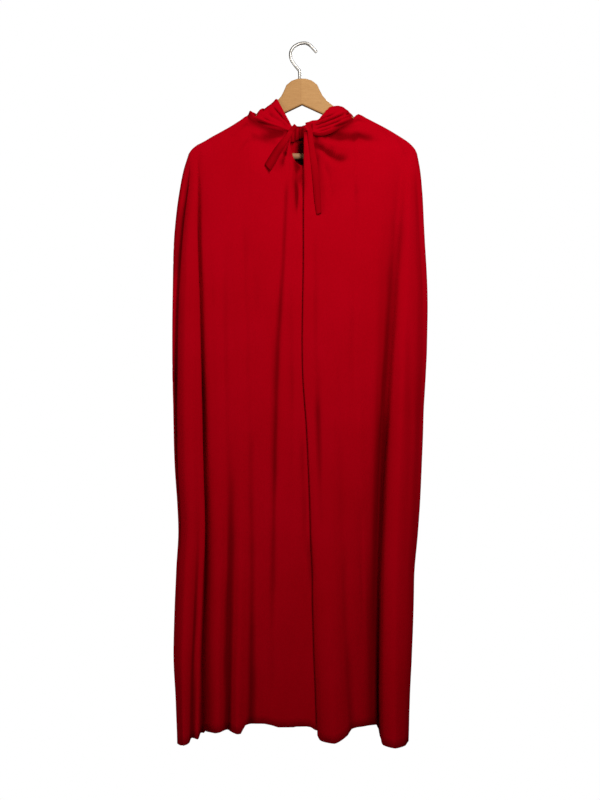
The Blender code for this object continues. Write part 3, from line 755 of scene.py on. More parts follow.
neckGathers = (
    # down from the seam: x at the seam, height, x and height at the end, depth, half width
    (-106, -158, -120, -190, 1.5, 3.4),
    (-96, -163, -106, -186, 1.3, 3.0),
    (-84, -168, -92, -204, 1.6, 3.6),
    (-74, -170, -80, -190, 1.2, 3.0),
    (-64, -173, -70, -206, 1.6, 3.4),
    (-54, -175, -58, -192, 1.3, 3.0),
    (-46, -176, -50, -204, 1.5, 3.2),
    (4, -184, 6, -214, 1.6, 3.0),
    (12, -186, 15, -206, 1.3, 2.8),
    (20, -188, 26, -226, 1.8, 3.2),
    (30, -187, 38, -208, 1.3, 3.0),
    (40, -186, 52, -216, 1.6, 3.6),
    (52, -182, 68, -202, 1.3, 3.4),
    (62, -176, 82, -196, 1.5, 3.6),
    (74, -169, 92, -184, 1.2, 3.2),
    (86, -162, 106, -178, 1.4, 3.6),
)

# cloth that lies in the shade of a fold or of the knot: x and height of three points, strength, half width;
# a last point far below the hem keeps the shade strong down to the hem
frontShades = (
    (196, -330, 170, -570, 148, -760, 0.30, 8.0),
    (160, -700, 134, -1110, 133, -2000, 0.80, 14.0),
    (24, -183, 92, -184, 160, -196, 0.36, 7.5),
    (18, -162, 23, -194, 33, -236, 0.34, 6.5),
    (-30, -182, -60, -177, -112, -158, 0.34, 5.0),
)


def straightToBent(rows):
    made = []
    for x1, z1, x2, z2, depth, half in rows:
        made.append((x1, z1, (x1 * 2 + x2) / 3, (z1 + z2) / 2, x2, z2, depth, half))
    return made


def creased(grid, folds, side):
    # side is -1 for cloth that faces the front, 1 for cloth that faces the back
    facing = gridNormals(grid)
    flatPoints = grid[:, :, [0, 2]].reshape(-1, 2)
    towards = ease((facing[:, :, 1] * side - 0.10) / 0.25)
    depth = foldDepth(flatPoints, folds).reshape(grid.shape[:2]) * towards
    return grid - facing * depth[..., None]


def wavered(grid, amount, acrossScale, alongScale, seed):
    # slow unevenness of hanging cloth, less of it at the top
    facing = gridNormals(grid)
    lines, rows = grid.shape[:2]
    push = np.empty((lines, rows))
    for line in range(lines):
        for row in range(rows):
            x, y, z = grid[line, row]
            spot = Vector((x / acrossScale, y / acrossScale + seed, z / alongScale))
            push[line, row] = noise.noise(spot)
    fall = ease((grid[:, :1, 2] - grid[:, :, 2] - 8) / 220)
    return grid + facing * (push * amount * fall)[..., None]


def turnedEdges(grid, hemTurn, edgeTurn, gap):
    # the hem and the two front edges are turned inwards once
    facing = gridNormals(grid)
    up = grid[:, -2] - grid[:, -1]
    up /= np.linalg.norm(up, axis=1, keepdims=True)
    last, inward = grid[:, -1], -facing[:, -1]
    rows = [grid]
    for share, rise in ((0.45, -0.35), (1.0, 0.5), (1.0, hemTurn * 0.5), (1.0, hemTurn)):
        rows.append((last + inward * gap * share + up * rise)[:, None])
    grid = np.concatenate(rows, axis=1)
    facing = gridNormals(grid)
    fall = ease((grid[:, :1, 2] - grid[:, :, 2]) / 30)
    sides = []
    for near, way in ((0, 1), (-1, -1)):
        run = np.zeros(grid.shape[1])
        made = [grid[near] - facing[near] * (gap * 0.5 * fall[near])[:, None]]
        for step in range(1, bodySetup["edgeLines"] + 1):
            line = near + way * step
            run = run + np.linalg.norm(grid[line] - grid[line - way], axis=1)
            share = np.minimum(edgeTurn / np.maximum(run, 0.1), 1.0)[:, None]
            place = made[0] + (grid[line] - facing[line] * gap - made[0]) * share
            made.append(place * fall[near][:, None] + grid[near] * (1 - fall[near][:, None]))
        sides.append([part[None] for part in made])
    return np.concatenate(sides[0][::-1] + [grid] + sides[1], axis=0)


# the left front edge runs down behind the right one: height, x
leftEdge = (
    (-178, -25.5),
    (-190, -27.5),
    (-211, -27.6),
    (-220, -25.0),
    (-230, -22.0),
    (-238, -15.0),
    (-246, -4.0),
    (-258, 5.0),
    (-280, 10.0),
    (-335, 12.0),
    (-470, 15.0),
    (-600, 18.5),
    (-767, 22.0),
    (-1100, 28.5),
    (-1349, 34.0),
)
# the right front edge hangs straight: height, x
rightEdge = (
    (-178, -1.0),
    (-240, -1.2),
    (-420, -1.2),
    (-690, -0.8),
    (-750, 4.0),
    (-820, 7.6),
    (-1110, 16.5),
    (-1367, 25.0),
)
edges = ((leftEdge, 0, bodySetup["leftEdgeReach"]), (rightEdge, -1, -bodySetup["rightEdgeReach"]))
for edgeTable, near, far in edges:
    swing = alongTable(edgeTable, bodyGrid[near, :, 2])[:, 0] - bodyGrid[near, :, 0]
    count = abs(far - near)
    for step in range(count):
        line = near + step if far > near else near - step
        bodyGrid[line, :, 0] += swing * (1 - ease(step / count))

# slow waves and finer ones over them
bodyGrid = wavered(bodyGrid, bodySetup["waver"], 46.0, 150.0, 3.0)
bodyGrid = wavered(bodyGrid, bodySetup["waver"] * 0.45, 17.0, 70.0, 11.0)
bodyGrid = creased(bodyGrid, list(frontCreases) + straightToBent(neckGathers), -1)
bodyGrid = creased(bodyGrid, rearCreases, 1)

# how the front hem hangs: x and height as seen from the front at the depth of the hook
hemLine = (
    (-258, -1391),
    (-256, -1393),
    (-254, -1398),
    (-249, -1401),
    (-235, -1401),
    (-229, -1395),
    (-226, -1382),
    (-224, -1377),
    (-222, -1383),
    (-219, -1385),
    (-208, -1385),
    (-202.5, -1379),
    (-200, -1372),
    (-190, -1375),
    (-179, -1378),
    (-167, -1375),
    (-157, -1369),
    (-150, -1369),
    (-147, -1377),
    (-143, -1379),
    (-128, -1379),
    (-124, -1375),
    (-122, -1366),
    (-116, -1359),
    (-99, -1357),
    (-80, -1358),
    (-65, -1361),
    (-48, -1367),
    (-37, -1370),
    (-22, -1365),
    (-10, -1361),
    (3, -1363),
    (14, -1365),
    (23, -1372),
    (27, -1384),
    (31, -1391),
    (38, -1395),
    (46, -1399),
    (54, -1399.5),
    (64, -1397),
    (72, -1393),
    (80, -1387),
    (87, -1381),
    (90, -1375),
    (95, -1368),
    (105, -1365),
    (117, -1363),
    (131, -1361),
    (145, -1359.5),
    (149, -1370),
    (151.5, -1392),
    (157, -1398),
    (167, -1404.5),
    (181, -1407.5),
    (197, -1405),
    (203, -1399),
    (209, -1392),
    (213, -1381),
    (216, -1368),
)
leftCount = sum(gapCounts[: len(leftLines)])
rightCount = sum(gapCounts[-len(rightLines):])
eyeX, eyeY, eyeZ = (value / mm for value in cameraSetup["place"])
hemTable = np.array(hemLine, float)


def steadied(values, reach):
    # running median, so that a line inside a fold doesn't hang lower than the lines beside it
    padded = np.pad(values, reach, mode="edge")
    return np.array([np.median(padded[place: place + 2 * reach + 1]) for place in range(len(values))])


def hemHeights(hem, furthest):
    # hem heights of a front, from the hem line as it is seen; furthest is where the front goes out of sight
    far = (hem[:, 1] - eyeY) / -eyeY
    seenX = np.minimum(eyeX + (hem[:, 0] - eyeX) / far, furthest)
    seenHem = np.interp(seenX, hemTable[:, 0], hemTable[:, 1])
    return steadied(eyeZ + (seenHem - eyeZ) * far, bodySetup["hemReach"])


for front, furthest in (
    (slice(0, leftCount), bodySetup["leftFrontEnd"]),
    (slice(-rightCount, None), math.inf),
):
    panel = bodyGrid[front]
    low = ease((panel[:, :1, 2] - panel[:, :, 2] - bodySetup["hemFitFrom"]) / bodySetup["hemFitRun"])
    panel[:, :, 2] += (hemHeights(panel[:, -1], furthest) - panel[:, -1, 2])[:, None] * low
facing = gridNormals(bodyGrid)

# painted shade in the valleys of the body's folds, at the neck seam and where big folds and the knot shade
# the cloth
bodyShade = valleyShade(bodyGrid, bodySetup["valleyReach"], bodySetup["valleyDepth"])
# painted shade: the gathers under the neck seam are painted darkest at the seam
atNeck = (bodyGrid[:, 0, 0] > bodySetup["neckLeft"]) & (bodyGrid[:, 0, 0] < bodySetup["neckRight"])
seamRows = np.exp(-((bodyGrid[:, :1, 2] - bodyGrid[:, :, 2]) / bodySetup["seamReach"]) ** 2)
bodyShade = np.clip(bodyShade + bodySetup["seamShade"] * seamRows * atNeck[:, None], 0, 1)
inFront = ease((-facing[:, :, 1] - 0.05) / 0.3)
laidShade = foldDepth(bodyGrid[:, :, [0, 2]].reshape(-1, 2), frontShades).reshape(bodyShade.shape) * inFront
bodyShade = 1 - (1 - bodyShade) * (1 - np.clip(laidShade, 0, bodySetup["laidLimit"]))
bodyShown = turnedEdges(bodyGrid, bodySetup["hemTurn"], bodySetup["edgeTurn"], bodySetup["turnGap"])
sideLines = bodySetup["edgeLines"] + 1
bodyShade = np.pad(bodyShade, ((sideLines, sideLines), (0, 4)), mode="edge") * bodySetup["shade"]
capeBody = clothPiece("capeBody", bodyShown, bodyCloth, bodySetup["wall"], bodyShade)
print("body triangles", sum(len(face.vertices) - 2 for face in capeBody.data.polygons))
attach(capeBody, "root")
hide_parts("cape_body")

# hood
print("stage: hood")

hoodSetup = {
    "wall": 0.8,
    "knots": 11,
    "steps": 7,
    "rowSteps": 6,
    "puff": 4.5,
    "tuck": (0.9, -1.6),
    "backLift": 1.0,
    "edgeTurn": 9.0,
    "edgeGap": 1.3,
    "outlineReach": 17.0,
    "shade": 0.9,
    "seamShade": 0.75,
    "seamRows": 7.0,
    "valleyReach": (3, 4),
    "valleyDepth": 0.9,
}

# stations round the neck: seam x, where, face edge point, drop, outward depth, x shift, lift
hoodLeftStations = (
    (-26, "front", (-23.5, -18.8, -171.0), 0, 0, 0, 0),
    (-37, "front", (-28.5, -16.5, -162.0), 0, 0, 0, 0),
    (-50, "front", (-35.0, -13.5, -149.0), 0, 0, 0, 0),
    (-65, "front", (-41.0, -11.5, -137.5), 0, 0, 0, 0),
    (-84, "front", (-47.0, -10.0, -126.0), 0, 0, 0, 0),
    (-110, "front", (-54.0, -8.4, -113.5), 0, 0, 0, 0),
    (-114, "ridge", (-59.0, 0, -107.5), 0, 0, 0, -2),
    (-111, "back", (-59.0, 8.0, -110.0), 0, 0, 0, 0),
    (-104, "back", (-57.5, 12.5, -116.0), 16, 8, -8, 0),
    (-92, "back", (-52.0, 25, -134.0), 60, 18, -22, 0),
    (-76, "back", (-45.0, 42, -160.0), 120, 25, -30, 0),
    (-54, "back", (-36.0, 60, -192.0), 175, 31, -26, 0),
    (-28, "back", (-20.0, 74, -220.0), 212, 35, -14, 0),
    (-5.4, "back", (-5.4, 80, -234.0), 232, 37, 0, 0),
)
hoodRightStations = (
    (-1, "front", (0.6, -26.0, -169.5), 0, 0, 0, 0),
    (7, "front", (7.0, -24.5, -163.0), 0, 0, 0, 0),
    (19, "front", (15.0, -22.0, -158.5), 0, 0, 0, 0),
    (33, "front", (24.5, -19.5, -156.0), 0, 0, 0, 0),
    (51, "front", (32.5, -16.0, -151.5), 0, 0, 0, 1),
    (71, "front", (40.0, -13.0, -142.0), 0, 0, 0, 3),
    (96.5, "front", (53.5, -9.8, -127.5), 0, 0, 0, 7),
    (100, "ridge", (61.5, 0, -120.0), 0, 0, 0, 7),
    (97.5, "back", (60.0, 8.8, -124.0), 0, 0, 0, 6),
    (91, "back", (57.5, 13, -128.0), 16, 8, 8, 0),
    (80, "back", (50.0, 26, -142.0), 60, 18, 22, 0),
    (65, "back", (40.0, 44, -168.0), 120, 25, 30, 0),
    (43, "back", (27.0, 62, -198.0), 175, 31, 26, 0),
    (17, "back", (10.0, 75, -223.0), 212, 35, 14, 0),
    (-4.6, "back", (-4.6, 80, -234.0), 232, 37, 0, 0),
)

# pouch section: from the seam to the bottom, share down, share of shift, share outward, depth added;
# then from the bottom up to the face edge, share up, share of shift, share outward
pouchFront = ((0.14, 0.03, 0.02, 3.6), (0.50, 0.12, -0.02, 1.0), (0.84, 0.06, -0.02, 0.0))
pouchRear = ((0.28, 0.20, 0.34), (0.52, 0.24, 0.30), (0.78, 0.10, 0.16))


def seamPoint(x, place):
    # the hood's lower edge is tucked behind the top edge of the body
    if place == "ridge":
        return np.array([x, 0.0, topOfCloth(x, True)[1] + 0.6])
    depth, height, _ = topOfCloth(x, place == "front")
    if place == "back":
        return np.array([x, depth, height + hoodSetup["backLift"]])
    behind, lower = hoodSetup["tuck"]
    return np.array([x, depth + behind, height + lower])


def hoodGrid(stations):
    lines = []
    for seamX, place, face, drop, outward, shift, lift in stations:
        seam, face = seamPoint(seamX, place), np.array(face, float)
        if drop == 0:
            t = np.linspace(0, 1, hoodSetup["knots"])[:, None]
            knots = seam + (face - seam) * t
            knots[:, 2] += lift * 4 * t[:, 0] * (1 - t[:, 0])
            if place == "front":
                knots[:, 1] -= hoodSetup["puff"] * ease(t[:, 0] / 0.22) * (1 - t[:, 0] ** 2)
            lines.append(knots)
            continue
        bottom = seam + np.array([shift, 5 + outward * 0.45, -drop])
        fold = min(outward * 0.28, 9.0)
        wide, out = np.array([shift, 0.0, 0.0]), np.array([0.0, outward, 0.0])
        knots = [seam, seam + np.array([0.0, 3.4, -0.4])]
        for share, wideShare, outShare, added in pouchFront:
            knot = seam + (bottom - seam) * share + wide * wideShare + out * outShare
            knots.append(knot + np.array([0.0, added, 0.0]))
        knots.append(bottom + np.array([0.0, fold * 0.9, -fold * 0.30]))
        knots.append(bottom + wide * 0.08 + np.array([0.0, fold * 2.0, fold * 0.55]))
        for share, wideShare, outShare in pouchRear:
            knots.append(bottom + (face - bottom) * share + wide * wideShare + out * outShare)
        knots.append(face)
        lines.append(np.array(knots))
    lines = np.array(lines)
    lines = finerLines(lines, [hoodSetup["steps"]] * (len(lines) - 1))
    across = finerLines(lines.transpose(1, 0, 2), [hoodSetup["rowSteps"]] * (hoodSetup["knots"] - 1))
    return across.transpose(1, 0, 2)


# top outline of each half as it hangs: x, height
leftTop = (
    (-54, -110.0),
    (-57, -109.0),
    (-66, -117.0),
    (-70.8, -120.8),
    (-79.8, -127.8),
    (-82.8, -126.6),
    (-88.8, -129.2),
    (-93.5, -135.6),
    (-95.8, -138.4),
    (-99.0, -136.6),
    (-103.6, -134.6),
    (-109.0, -131.6),
    (-112.0, -139.4),
    (-116.0, -144.0),
)
rightTop = (
    (30.0, -152.0),
    (36.8, -142.2),
    (45.8, -132.4),
    (52.0, -127.2),
    (58.2, -123.4),
    (68.0, -122.4),
    (77.0, -124.2),
    (85.8, -130.6),
    (91.2, -135.8),
    (95.6, -139.4),
    (100.2, -145.6),
    (104.0, -146.0),
)

# folds of the hood over the front: x and height of three points, depth, half width
leftHoodFolds = (
    (-28, -166, -45, -147, -76, -110, 2.8, 2.6),
    (-30, -168, -62, -149, -96, -116, 1.2, 4.5),
    (-33, -171, -72, -155, -120, -128, 1.3, 4.0),
    (-36, -174, -80, -161, -128, -148, 2.4, 3.8),
    (-28, -167, -52, -149, -84, -114, -1.2, 3.0),
    (-34, -172, -76, -158, -124, -137, -1.0, 3.0),
    (-96, -138, -97, -143, -99, -150, 3.0, 2.6),
    (-81, -128, -83, -134, -86, -142, 2.2, 2.6),
    (-112, -136, -108, -142, -104, -150, 2.2, 2.4),
)
rightHoodFolds = (
    (16, -160, 64, -141, 96, -124, 1.8, 2.4),
    (14, -170, 78, -143, 112, -132, 3.6, 3.4),
    (18, -177, 82, -151, 112, -138, 2.6, 2.6),
    (22, -183, 86, -158, 112, -148, 2.0, 2.2),
    (14, -165, 72, -141, 104, -126, -1.4, 2.4),
    (16, -173, 80, -147, 112, -135, -1.2, 2.2),
    (92, -131, 96, -138, 100, -148, 2.2, 3.6),
    (0, -174, 4, -182, 8, -190, 2.2, 2.2),
    (14, -164, 15, -172, 16, -186, 1.8, 2.2),
    (90, -136, 86, -141, 80, -147, 1.8, 2.4),
)


def outlineMatched(grid, outline):
    # the top of the cloth is lifted or lowered to the given line
    table = np.array(sorted(outline), float)
    marks = np.linspace(table[0, 0], table[-1, 0], 60)
    x, z = grid[:, :, 0], grid[:, :, 2]
    now = np.array([z[np.abs(x - mark) < 1.6].max() for mark in marks])
    top = np.interp(x, marks, now)
    wanted = np.interp(x, table[:, 0], table[:, 1])
    inside = ease((x - table[0, 0] + 4) / 4) * ease((table[-1, 0] + 4 - x) / 4)
    near = ease(1 - (top - z) / hoodSetup["outlineReach"]) * inside
    made = grid.copy()
    made[:, :, 2] += (wanted - top) * near
    return made


def faceTurned(grid):
    # the face edge is turned inwards once
    facing = gridNormals(grid)
    back = grid[:, -3] - grid[:, -1]
    back /= np.maximum(np.linalg.norm(back, axis=1, keepdims=True), 1e-6)
    last, inward = grid[:, -1], -facing[:, -2]
    rows = [grid]
    turn = hoodSetup["edgeTurn"]
    for share, run in ((0.5, -0.3), (1.0, 0.6), (1.0, turn * 0.5), (1.0, turn)):
        rows.append((last + inward * hoodSetup["edgeGap"] * share + back * run)[:, None])
    return np.concatenate(rows, axis=1)


def hoodShade(grid):
    # dark in the valleys and at the seam
    seam = hoodSetup["seamShade"] * np.exp(-((np.arange(grid.shape[1]) / hoodSetup["seamRows"]) ** 2))
    valleys = valleyShade(grid, hoodSetup["valleyReach"], hoodSetup["valleyDepth"])
    return np.clip(valleys + seam, 0, 1) * hoodSetup["shade"]


hoodLeftGrid = outlineMatched(hoodGrid(hoodLeftStations)[::-1], leftTop)
hoodRightGrid = outlineMatched(hoodGrid(hoodRightStations), rightTop)
hoodLeftGrid = faceTurned(creased(hoodLeftGrid, leftHoodFolds, -1))
hoodRightGrid = faceTurned(creased(hoodRightGrid, rightHoodFolds, -1))
hoodLeft = clothPiece("hoodLeft", hoodLeftGrid, hoodCloth, hoodSetup["wall"], hoodShade(hoodLeftGrid))
hoodRight = clothPiece("hoodRight", hoodRightGrid, hoodCloth, hoodSetup["wall"], hoodShade(hoodRightGrid))
for piece, node in ((hoodLeft, "hood_left"), (hoodRight, "hood_right")):
    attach(piece, "root")
    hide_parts(node)

# gathered casing inside the back neckline
print("stage: neck casing")

casingSetup = {
    "wall": 0.8,
    "from": -104.0,
    "to": 92.0,
    "lines": 420,
    "rows": 15,
    "depth": 26.0,
    "pleat": 2.4,
    "inside": 4.2,
    "belly": 2.0,
    "flatDrop": 0.027,
}

# rim of the casing where it shows between the fronts: x, height
casingRim = (
    (-104, -157.0),
    (-60, -166.0),
    (-28, -168.5),
    (-16.8, -165.4),
    (-11.4, -163.6),
    (-6.0, -160.6),
    (-1.6, -160.0),
    (4.6, -160.4),
    (8.2, -157.4),
    (11.8, -155.6),
    (16.2, -150.8),
    (24.2, -152.0),
    (31.2, -153.5),
    (60, -156.0),
    (92, -153.0),
)
casingRun = np.linspace(0, 1, casingSetup["lines"])
casingX = casingSetup["from"] + (casingSetup["to"] - casingSetup["from"]) * casingRun
seamDepth = alongTable(neckBack, casingX)[:, 0]
rim = alongTable(casingRim, casingX)[:, 0]
swell = 0.8 + 0.35 * np.sin(casingX * 0.19 + 0.7) + 0.25 * np.sin(casingX * 0.43)
phase = casingX * 0.92 + 1.1 * np.sin(casingX * 0.137) + 0.7 * np.sin(casingX * 0.31 + 2.0)
casingLines, casingShades = [], []
for down in np.linspace(0, 1, casingSetup["rows"]):
    # the gathers are tight at the rim and loosen downwards
    loose = 0.55 + 0.75 * down
    pleat = casingSetup["pleat"] * swell * loose
    x = casingX + 1.1 * pleat * np.cos(phase + 0.8 * down) * 0.6
    belly = casingSetup["belly"] * math.sin(math.pi * down)
    y = seamDepth - casingSetup["inside"] - belly + pleat * np.sin(phase + 0.8 * down) * 0.5
    z = rim - casingSetup["depth"] * down * (0.92 + 0.08 * swell) + 0.8 * np.sin(phase * 0.5 + 1.0)
    casingLines.append(np.stack([x, y, z], axis=1))
    # painted shade: darker in the back of each pleat and further down the casing
    casingShades.append(np.clip(0.28 + 0.34 * np.sin(phase + 0.8 * down) + 0.45 * down**2, 0, 0.95))
casingGrid = np.array(casingLines).transpose(1, 0, 2)
casingShade = np.array(casingShades).T
neckCasing = clothPiece("neckCasing", casingGrid, casingCloth, casingSetup["wall"], casingShade)
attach(neckCasing, "root")

# ties
print("stage: ties")

tieSetup = {
    "wall": 0.9,
    "width": 15.0,
    "lines": 11,
    "rowSteps": 9,
    "curl": 1.0,
    "gap": 1.2,
    "slant": 0.42,
    "reach": 6.0,
    "openDepth": -25.0,
    "leftShade": (0.35, 0.60),
    "rightShade": (0.45, 0.30),
}

# x, height, width share, how far it leans to the left (slope), slant of the cut end
tieLeftPath = (
    (-17.0, -169.0, 0.55, 0.0, 0.0),
    (-25.0, -178.0, 0.62, 0.0, 0.0),
    (-33.0, -190.0, 0.68, 0.0, 0.0),
    (-43.0, -203.0, 0.90, 0.30, 0.0),
    (-54.0, -219.0, 1.05, 0.50, 0.0),
    (-64.0, -238.0, 1.15, 0.50, 0.3),
    (-72.5, -253.0, 1.1, 0.45, 1.0),
)
tieRightPath = (
    (6.0, -163.0, 0.60, 0.0, 0.0),
    (10.5, -180.0, 0.66, 0.0, 0.0),
    (13.0, -204.0, 0.70, 0.0, 0.0),
    (16.5, -228.0, 0.80, 0.10, 0.0),
    (20.0, -252.0, 0.88, 0.20, 0.0),
    (23.5, -285.0, 0.92, 0.24, 0.0),
    (26.0, -318.0, 0.86, 0.24, 0.2),
    (28.5, -345.0, 0.66, 0.22, -0.5),
)

frontPoints = bodyGrid[facing[:, :, 1] < -0.1]


def bodyFront(x, z):
    # foremost depth of the body near a place, or that of the fronts where the place is over the opening
    near = np.hypot(frontPoints[:, 0] - x, frontPoints[:, 2] - z) < tieSetup["reach"]
    return frontPoints[near, 1].min() if near.any() else tieSetup["openDepth"]


def tieGrid(path):
    table = [(row, *values) for row, values in enumerate(path)]
    where = np.linspace(0, len(path) - 1, tieSetup["rowSteps"] * (len(path) - 1) + 1)
    middle = alongTable(table, where)
    steps = np.gradient(middle[:, :2], axis=0)
    steps /= np.linalg.norm(steps, axis=1, keepdims=True)
    width = tieSetup["width"] * middle[:, 2]
    under = np.array([bodyFront(px, pz) for px, pz in middle[:, :2]])
    under = np.convolve(np.pad(under, 4, mode="edge"), np.ones(9) / 9, mode="valid")
    lines = []
    for side in np.linspace(-0.5, 0.5, tieSetup["lines"]):
        off = width * side
        slant = middle[:, 4] * off * tieSetup["slant"]
        x = middle[:, 0] - steps[:, 1] * off + steps[:, 0] * slant
        z = middle[:, 1] + steps[:, 0] * off + steps[:, 1] * slant
        # rolled at the top, leaning over lower down, so that it takes less light
        curl = tieSetup["curl"] * (1 - (2 * side) ** 2) * (1.3 - 1.2 * middle[:, 3])
        lean = (x - middle[:, 0]) * middle[:, 3]
        rise = width * 0.5 * middle[:, 3]
        y = under - tieSetup["gap"] - rise - lean - curl
        lines.append(np.stack([x, y, z], axis=1))
    return np.array(lines)


def tieShade(grid, start, most):
    # painted shade: the hanging ends are painted darker towards their tips, more along their edges
    share = np.linspace(0, 1, grid.shape[1])[None, :]
    across = 0.75 + 0.25 * np.cos(np.linspace(0, 2 * math.pi, grid.shape[0]))[:, None]
    return most * ease((share - start) / 0.3) * across


tieLeftGrid, tieRightGrid = tieGrid(tieLeftPath), tieGrid(tieRightPath)
tieLeftShade = tieShade(tieLeftGrid, *tieSetup["leftShade"])
tieRightShade = tieShade(tieRightGrid, *tieSetup["rightShade"])
tieLeft = clothPiece("tieLeft", tieLeftGrid, tieCloth, tieSetup["wall"], tieLeftShade)
tieRight = clothPiece("tieRight", tieRightGrid, tieCloth, tieSetup["wall"], tieRightShade)
for piece, node in ((tieLeft, "tie_left"), (tieRight, "tie_right")):
    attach(piece, "root")
    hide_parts(node)

# hanger
print("stage: hanger")

woodLook = {
    "pale": (0.475, 0.255, 0.093),
    "dark": (0.345, 0.165, 0.050),
    "roughness": 0.5,
    "stretch": (1.0, 1.0, 9.0),
    "joint": -6.8,
    "jointWidth": 0.45,
    "jointTone": (0.55, 0.42, 0.30),
    "jointStrength": 0.55,
    "leftHalfStrength": 0.14,
}
barLook = {
    "pale": (0.40, 0.20, 0.10),
    "dark": (0.28, 0.13, 0.06),
    "roughness": 0.6,
    "stretch": (1.0, 9.0, 9.0),
    "joint": None,
}
woodGrain = {"scale": 60.0, "poreScale": 420.0, "poreShare": 0.30, "poreTone": 0.55, "bump": 0.12}


def woodFinish(name, look):
    material, shader = startMaterial(name)
    place = addNode(material, "ShaderNodeTexCoord", (-1000, 0))
    turn = addNode(material, "ShaderNodeMapping", (-800, 0))
    turn.inputs["Scale"].default_value = look["stretch"]
    joinSockets(material, place.outputs["Object"], turn.inputs["Vector"])
    grain = addNode(material, "ShaderNodeTexNoise", (-600, 0))
    grain.inputs["Scale"].default_value = woodGrain["scale"]
    grain.inputs["Detail"].default_value = 8.0
    joinSockets(material, turn.outputs["Vector"], grain.inputs["Vector"])
    ramp = addNode(material, "ShaderNodeMix", (-300, 0), data_type="RGBA")
    ramp.inputs["A"].default_value = (*look["dark"], 1.0)
    ramp.inputs["B"].default_value = (*look["pale"], 1.0)
    joinSockets(material, grain.outputs["Fac"], ramp.inputs["Factor"])
    pores = addNode(material, "ShaderNodeTexNoise", (-600, -250))
    pores.inputs["Scale"].default_value = woodGrain["poreScale"]
    pores.inputs["Detail"].default_value = 3.0
    joinSockets(material, turn.outputs["Vector"], pores.inputs["Vector"])
    speckle = addNode(material, "ShaderNodeMapRange", (-400, -250))
    speckle.inputs["From Min"].default_value = 0.55
    speckle.inputs["From Max"].default_value = 0.75
    speckle.inputs["To Max"].default_value = woodGrain["poreShare"]
    joinSockets(material, pores.outputs["Fac"], speckle.inputs["Value"])
    flecked = addNode(material, "ShaderNodeMix", (-150, 0), data_type="RGBA")
    flecked.inputs["B"].default_value = (*(value * woodGrain["poreTone"] for value in look["dark"]), 1.0)
    joinSockets(material, speckle.outputs["Result"], flecked.inputs["Factor"])
    joinSockets(material, ramp.outputs["Result"], flecked.inputs["A"])
    shown = flecked
    if look["joint"] is not None:
        # the head is glued from two halves: a fine line, and the left half a little deeper in colour
        across = addNode(material, "ShaderNodeSeparateXYZ", (-800, 300))
        joinSockets(material, place.outputs["Object"], across.inputs[0])
        shown = addNode(material, "ShaderNodeMix", (200, 0), data_type="RGBA", blend_type="MULTIPLY")
        away = addNode(material, "ShaderNodeMath", (-600, 350), operation="SUBTRACT")
        away.inputs[1].default_value = look["joint"] * mm
        joinSockets(material, across.outputs["X"], away.inputs[0])
        distance = addNode(material, "ShaderNodeMath", (-450, 350), operation="ABSOLUTE")
        joinSockets(material, away.outputs[0], distance.inputs[0])
        glueLine = addNode(material, "ShaderNodeMapRange", (-300, 350))
        glueLine.inputs["From Max"].default_value = look["jointWidth"] * mm
        glueLine.inputs["To Min"].default_value = look["jointStrength"]
        glueLine.inputs["To Max"].default_value = 0.0
        joinSockets(material, distance.outputs[0], glueLine.inputs["Value"])
        halves = addNode(material, "ShaderNodeMapRange", (-300, 550))
        halves.inputs["From Min"].default_value = -0.0002
        halves.inputs["From Max"].default_value = 0.0002
        halves.inputs["To Min"].default_value = look["leftHalfStrength"]
        halves.inputs["To Max"].default_value = 0.0
        joinSockets(material, away.outputs[0], halves.inputs["Value"])
        strength = addNode(material, "ShaderNodeMath", (-100, 450), operation="MAXIMUM")
        joinSockets(material, glueLine.outputs["Result"], strength.inputs[0])
        joinSockets(material, halves.outputs["Result"], strength.inputs[1])
        shown.inputs["B"].default_value = (*look["jointTone"], 1.0)
        joinSockets(material, strength.outputs[0], shown.inputs["Factor"])
        joinSockets(material, flecked.outputs["Result"], shown.inputs["A"])
    joinSockets(material, shown.outputs["Result"], shader.inputs["Base Color"])
    bump = addNode(material, "ShaderNodeBump", (-300, -500))
    bump.inputs["Strength"].default_value = woodGrain["bump"]
    bump.inputs["Distance"].default_value = 0.0005
    joinSockets(material, grain.outputs["Fac"], bump.inputs["Height"])
    joinSockets(material, bump.outputs["Normal"], shader.inputs["Normal"])
    shader.inputs["Roughness"].default_value = look["roughness"]
    shader.inputs["Specular IOR Level"].default_value = 0.15
    return material


def giveMaterial(node, material):
    for slot in node.material_slots:
        slot.link = "OBJECT"
        slot.material = material
    if not node.material_slots:
        node.data.materials.append(material)


giveMaterial(nodes["hanger_wood"], woodFinish("hangerWood", woodLook))
giveMaterial(nodes["hanger_bar"], woodFinish("barWood", barLook))

# hook
print("stage: hook")

chromeLook = {"colour": (0.44, 0.41, 0.37), "scuffScale": 400.0, "roughness": (0.30, 0.40)}
chrome, chromeShader = startMaterial("hookChrome")
chromeShader.inputs["Base Color"].default_value = (*chromeLook["colour"], 1.0)
chromeShader.inputs["Metallic"].default_value = 1.0
scuff = addNode(chrome, "ShaderNodeTexNoise", (-500, 0))
scuff.inputs["Scale"].default_value = chromeLook["scuffScale"]
scuffRange = addNode(chrome, "ShaderNodeMapRange", (-300, 0))
scuffRange.inputs["To Min"].default_value = chromeLook["roughness"][0]
scuffRange.inputs["To Max"].default_value = chromeLook["roughness"][1]
scuffPlace = addNode(chrome, "ShaderNodeTexCoord", (-700, 0))
joinSockets(chrome, scuffPlace.outputs["Object"], scuff.inputs["Vector"])
joinSockets(chrome, scuff.outputs["Fac"], scuffRange.inputs["Value"])
joinSockets(chrome, scuffRange.outputs["Result"], chromeShader.inputs["Roughness"])

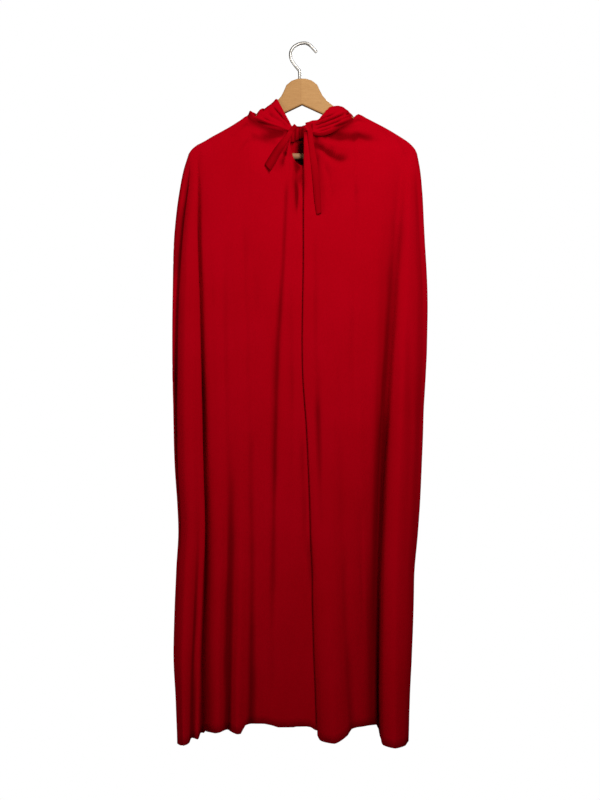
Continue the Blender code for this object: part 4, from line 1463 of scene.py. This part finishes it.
# the wire of the hook, drawn along its bend: x and height in mm, from the tip to the socket
hookSetup = {"radius": 3.1, "sides": 20, "steps": 6, "tipEdge": 0.45, "socketEnd": -89.8}
hookPath = (
    (24.2, -15.5),
    (17.1, -7.4),
    (9.1, 0.1),
    (0.0, 3.1),
    (-11.7, 0.9),
    (-20.8, -4.4),
    (-26.5, -12.5),
    (-27.9, -22.0),
    (-25.5, -31.5),
    (-18.8, -41.5),
    (-12.5, -49.2),
    (-9.6, -56.2),
    (-9.6, hookSetup["socketEnd"]),
)


def smoothPath(points, steps):
    knots = np.array(points, float)
    ahead = np.vstack([knots[1:2] - knots[:1], (knots[2:] - knots[:-2]) / 2, knots[-1:] - knots[-2:-1]])
    made = []
    for gap in range(len(knots) - 1):
        for part in range(steps):
            made.append(between(knots[gap], knots[gap + 1], ahead[gap], ahead[gap + 1], part / steps))
    made.append(knots[-1])
    return np.array(made) * mm


def headings(points):
    # turns about Y that take +Z to the run of the wire
    run = np.gradient(points, axis=0)
    return np.arctan2(run[:, 0], run[:, 1])


wirePoints = smoothPath(hookPath, hookSetup["steps"])
wireTurns = headings(wirePoints)
bpy.ops.object.select_all(action="DESELECT")
bpy.ops.mesh.primitive_circle_add(
    vertices=hookSetup["sides"],
    radius=(hookSetup["radius"] - hookSetup["tipEdge"]) * mm,
    fill_type="NGON",
    location=(wirePoints[0][0], 0.0, wirePoints[0][1]),
    rotation=(0.0, wireTurns[0], 0.0),
)
hookWire = bpy.context.active_object
hookWire.name = "hookWire"
bpy.ops.object.mode_set(mode="EDIT")
bpy.ops.mesh.select_all(action="SELECT")
lastTurn, lastPoint = wireTurns[0], wirePoints[0]
firstStep = wirePoints[1] - wirePoints[0]
firstStep = firstStep / np.linalg.norm(firstStep) * hookSetup["tipEdge"] * mm
bpy.ops.mesh.extrude_region_move(TRANSFORM_OT_translate={"value": (firstStep[0], 0.0, firstStep[1])})
growth = hookSetup["radius"] / (hookSetup["radius"] - hookSetup["tipEdge"])
lastPoint = lastPoint + firstStep
bpy.ops.transform.resize(value=(growth, growth, growth), center_override=(lastPoint[0], 0.0, lastPoint[1]))
for point, turn in zip(wirePoints[1:], wireTurns[1:]):
    step = point - lastPoint
    bpy.ops.mesh.extrude_region_move(TRANSFORM_OT_translate={"value": (step[0], 0.0, step[1])})
    bpy.ops.transform.rotate(
        value=-(turn - lastTurn), orient_axis="Y", center_override=(point[0], 0.0, point[1])
    )
    lastTurn, lastPoint = turn, point
bpy.ops.mesh.select_all(action="SELECT")
bpy.ops.mesh.normals_make_consistent(inside=False)
bpy.ops.object.mode_set(mode="OBJECT")
bpy.ops.object.transform_apply(location=True, rotation=True, scale=True)
bpy.ops.object.shade_smooth_by_angle(angle=math.radians(40))
hookWire.data.materials.append(chrome)
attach(hookWire, "root")
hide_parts("hanger_hook")
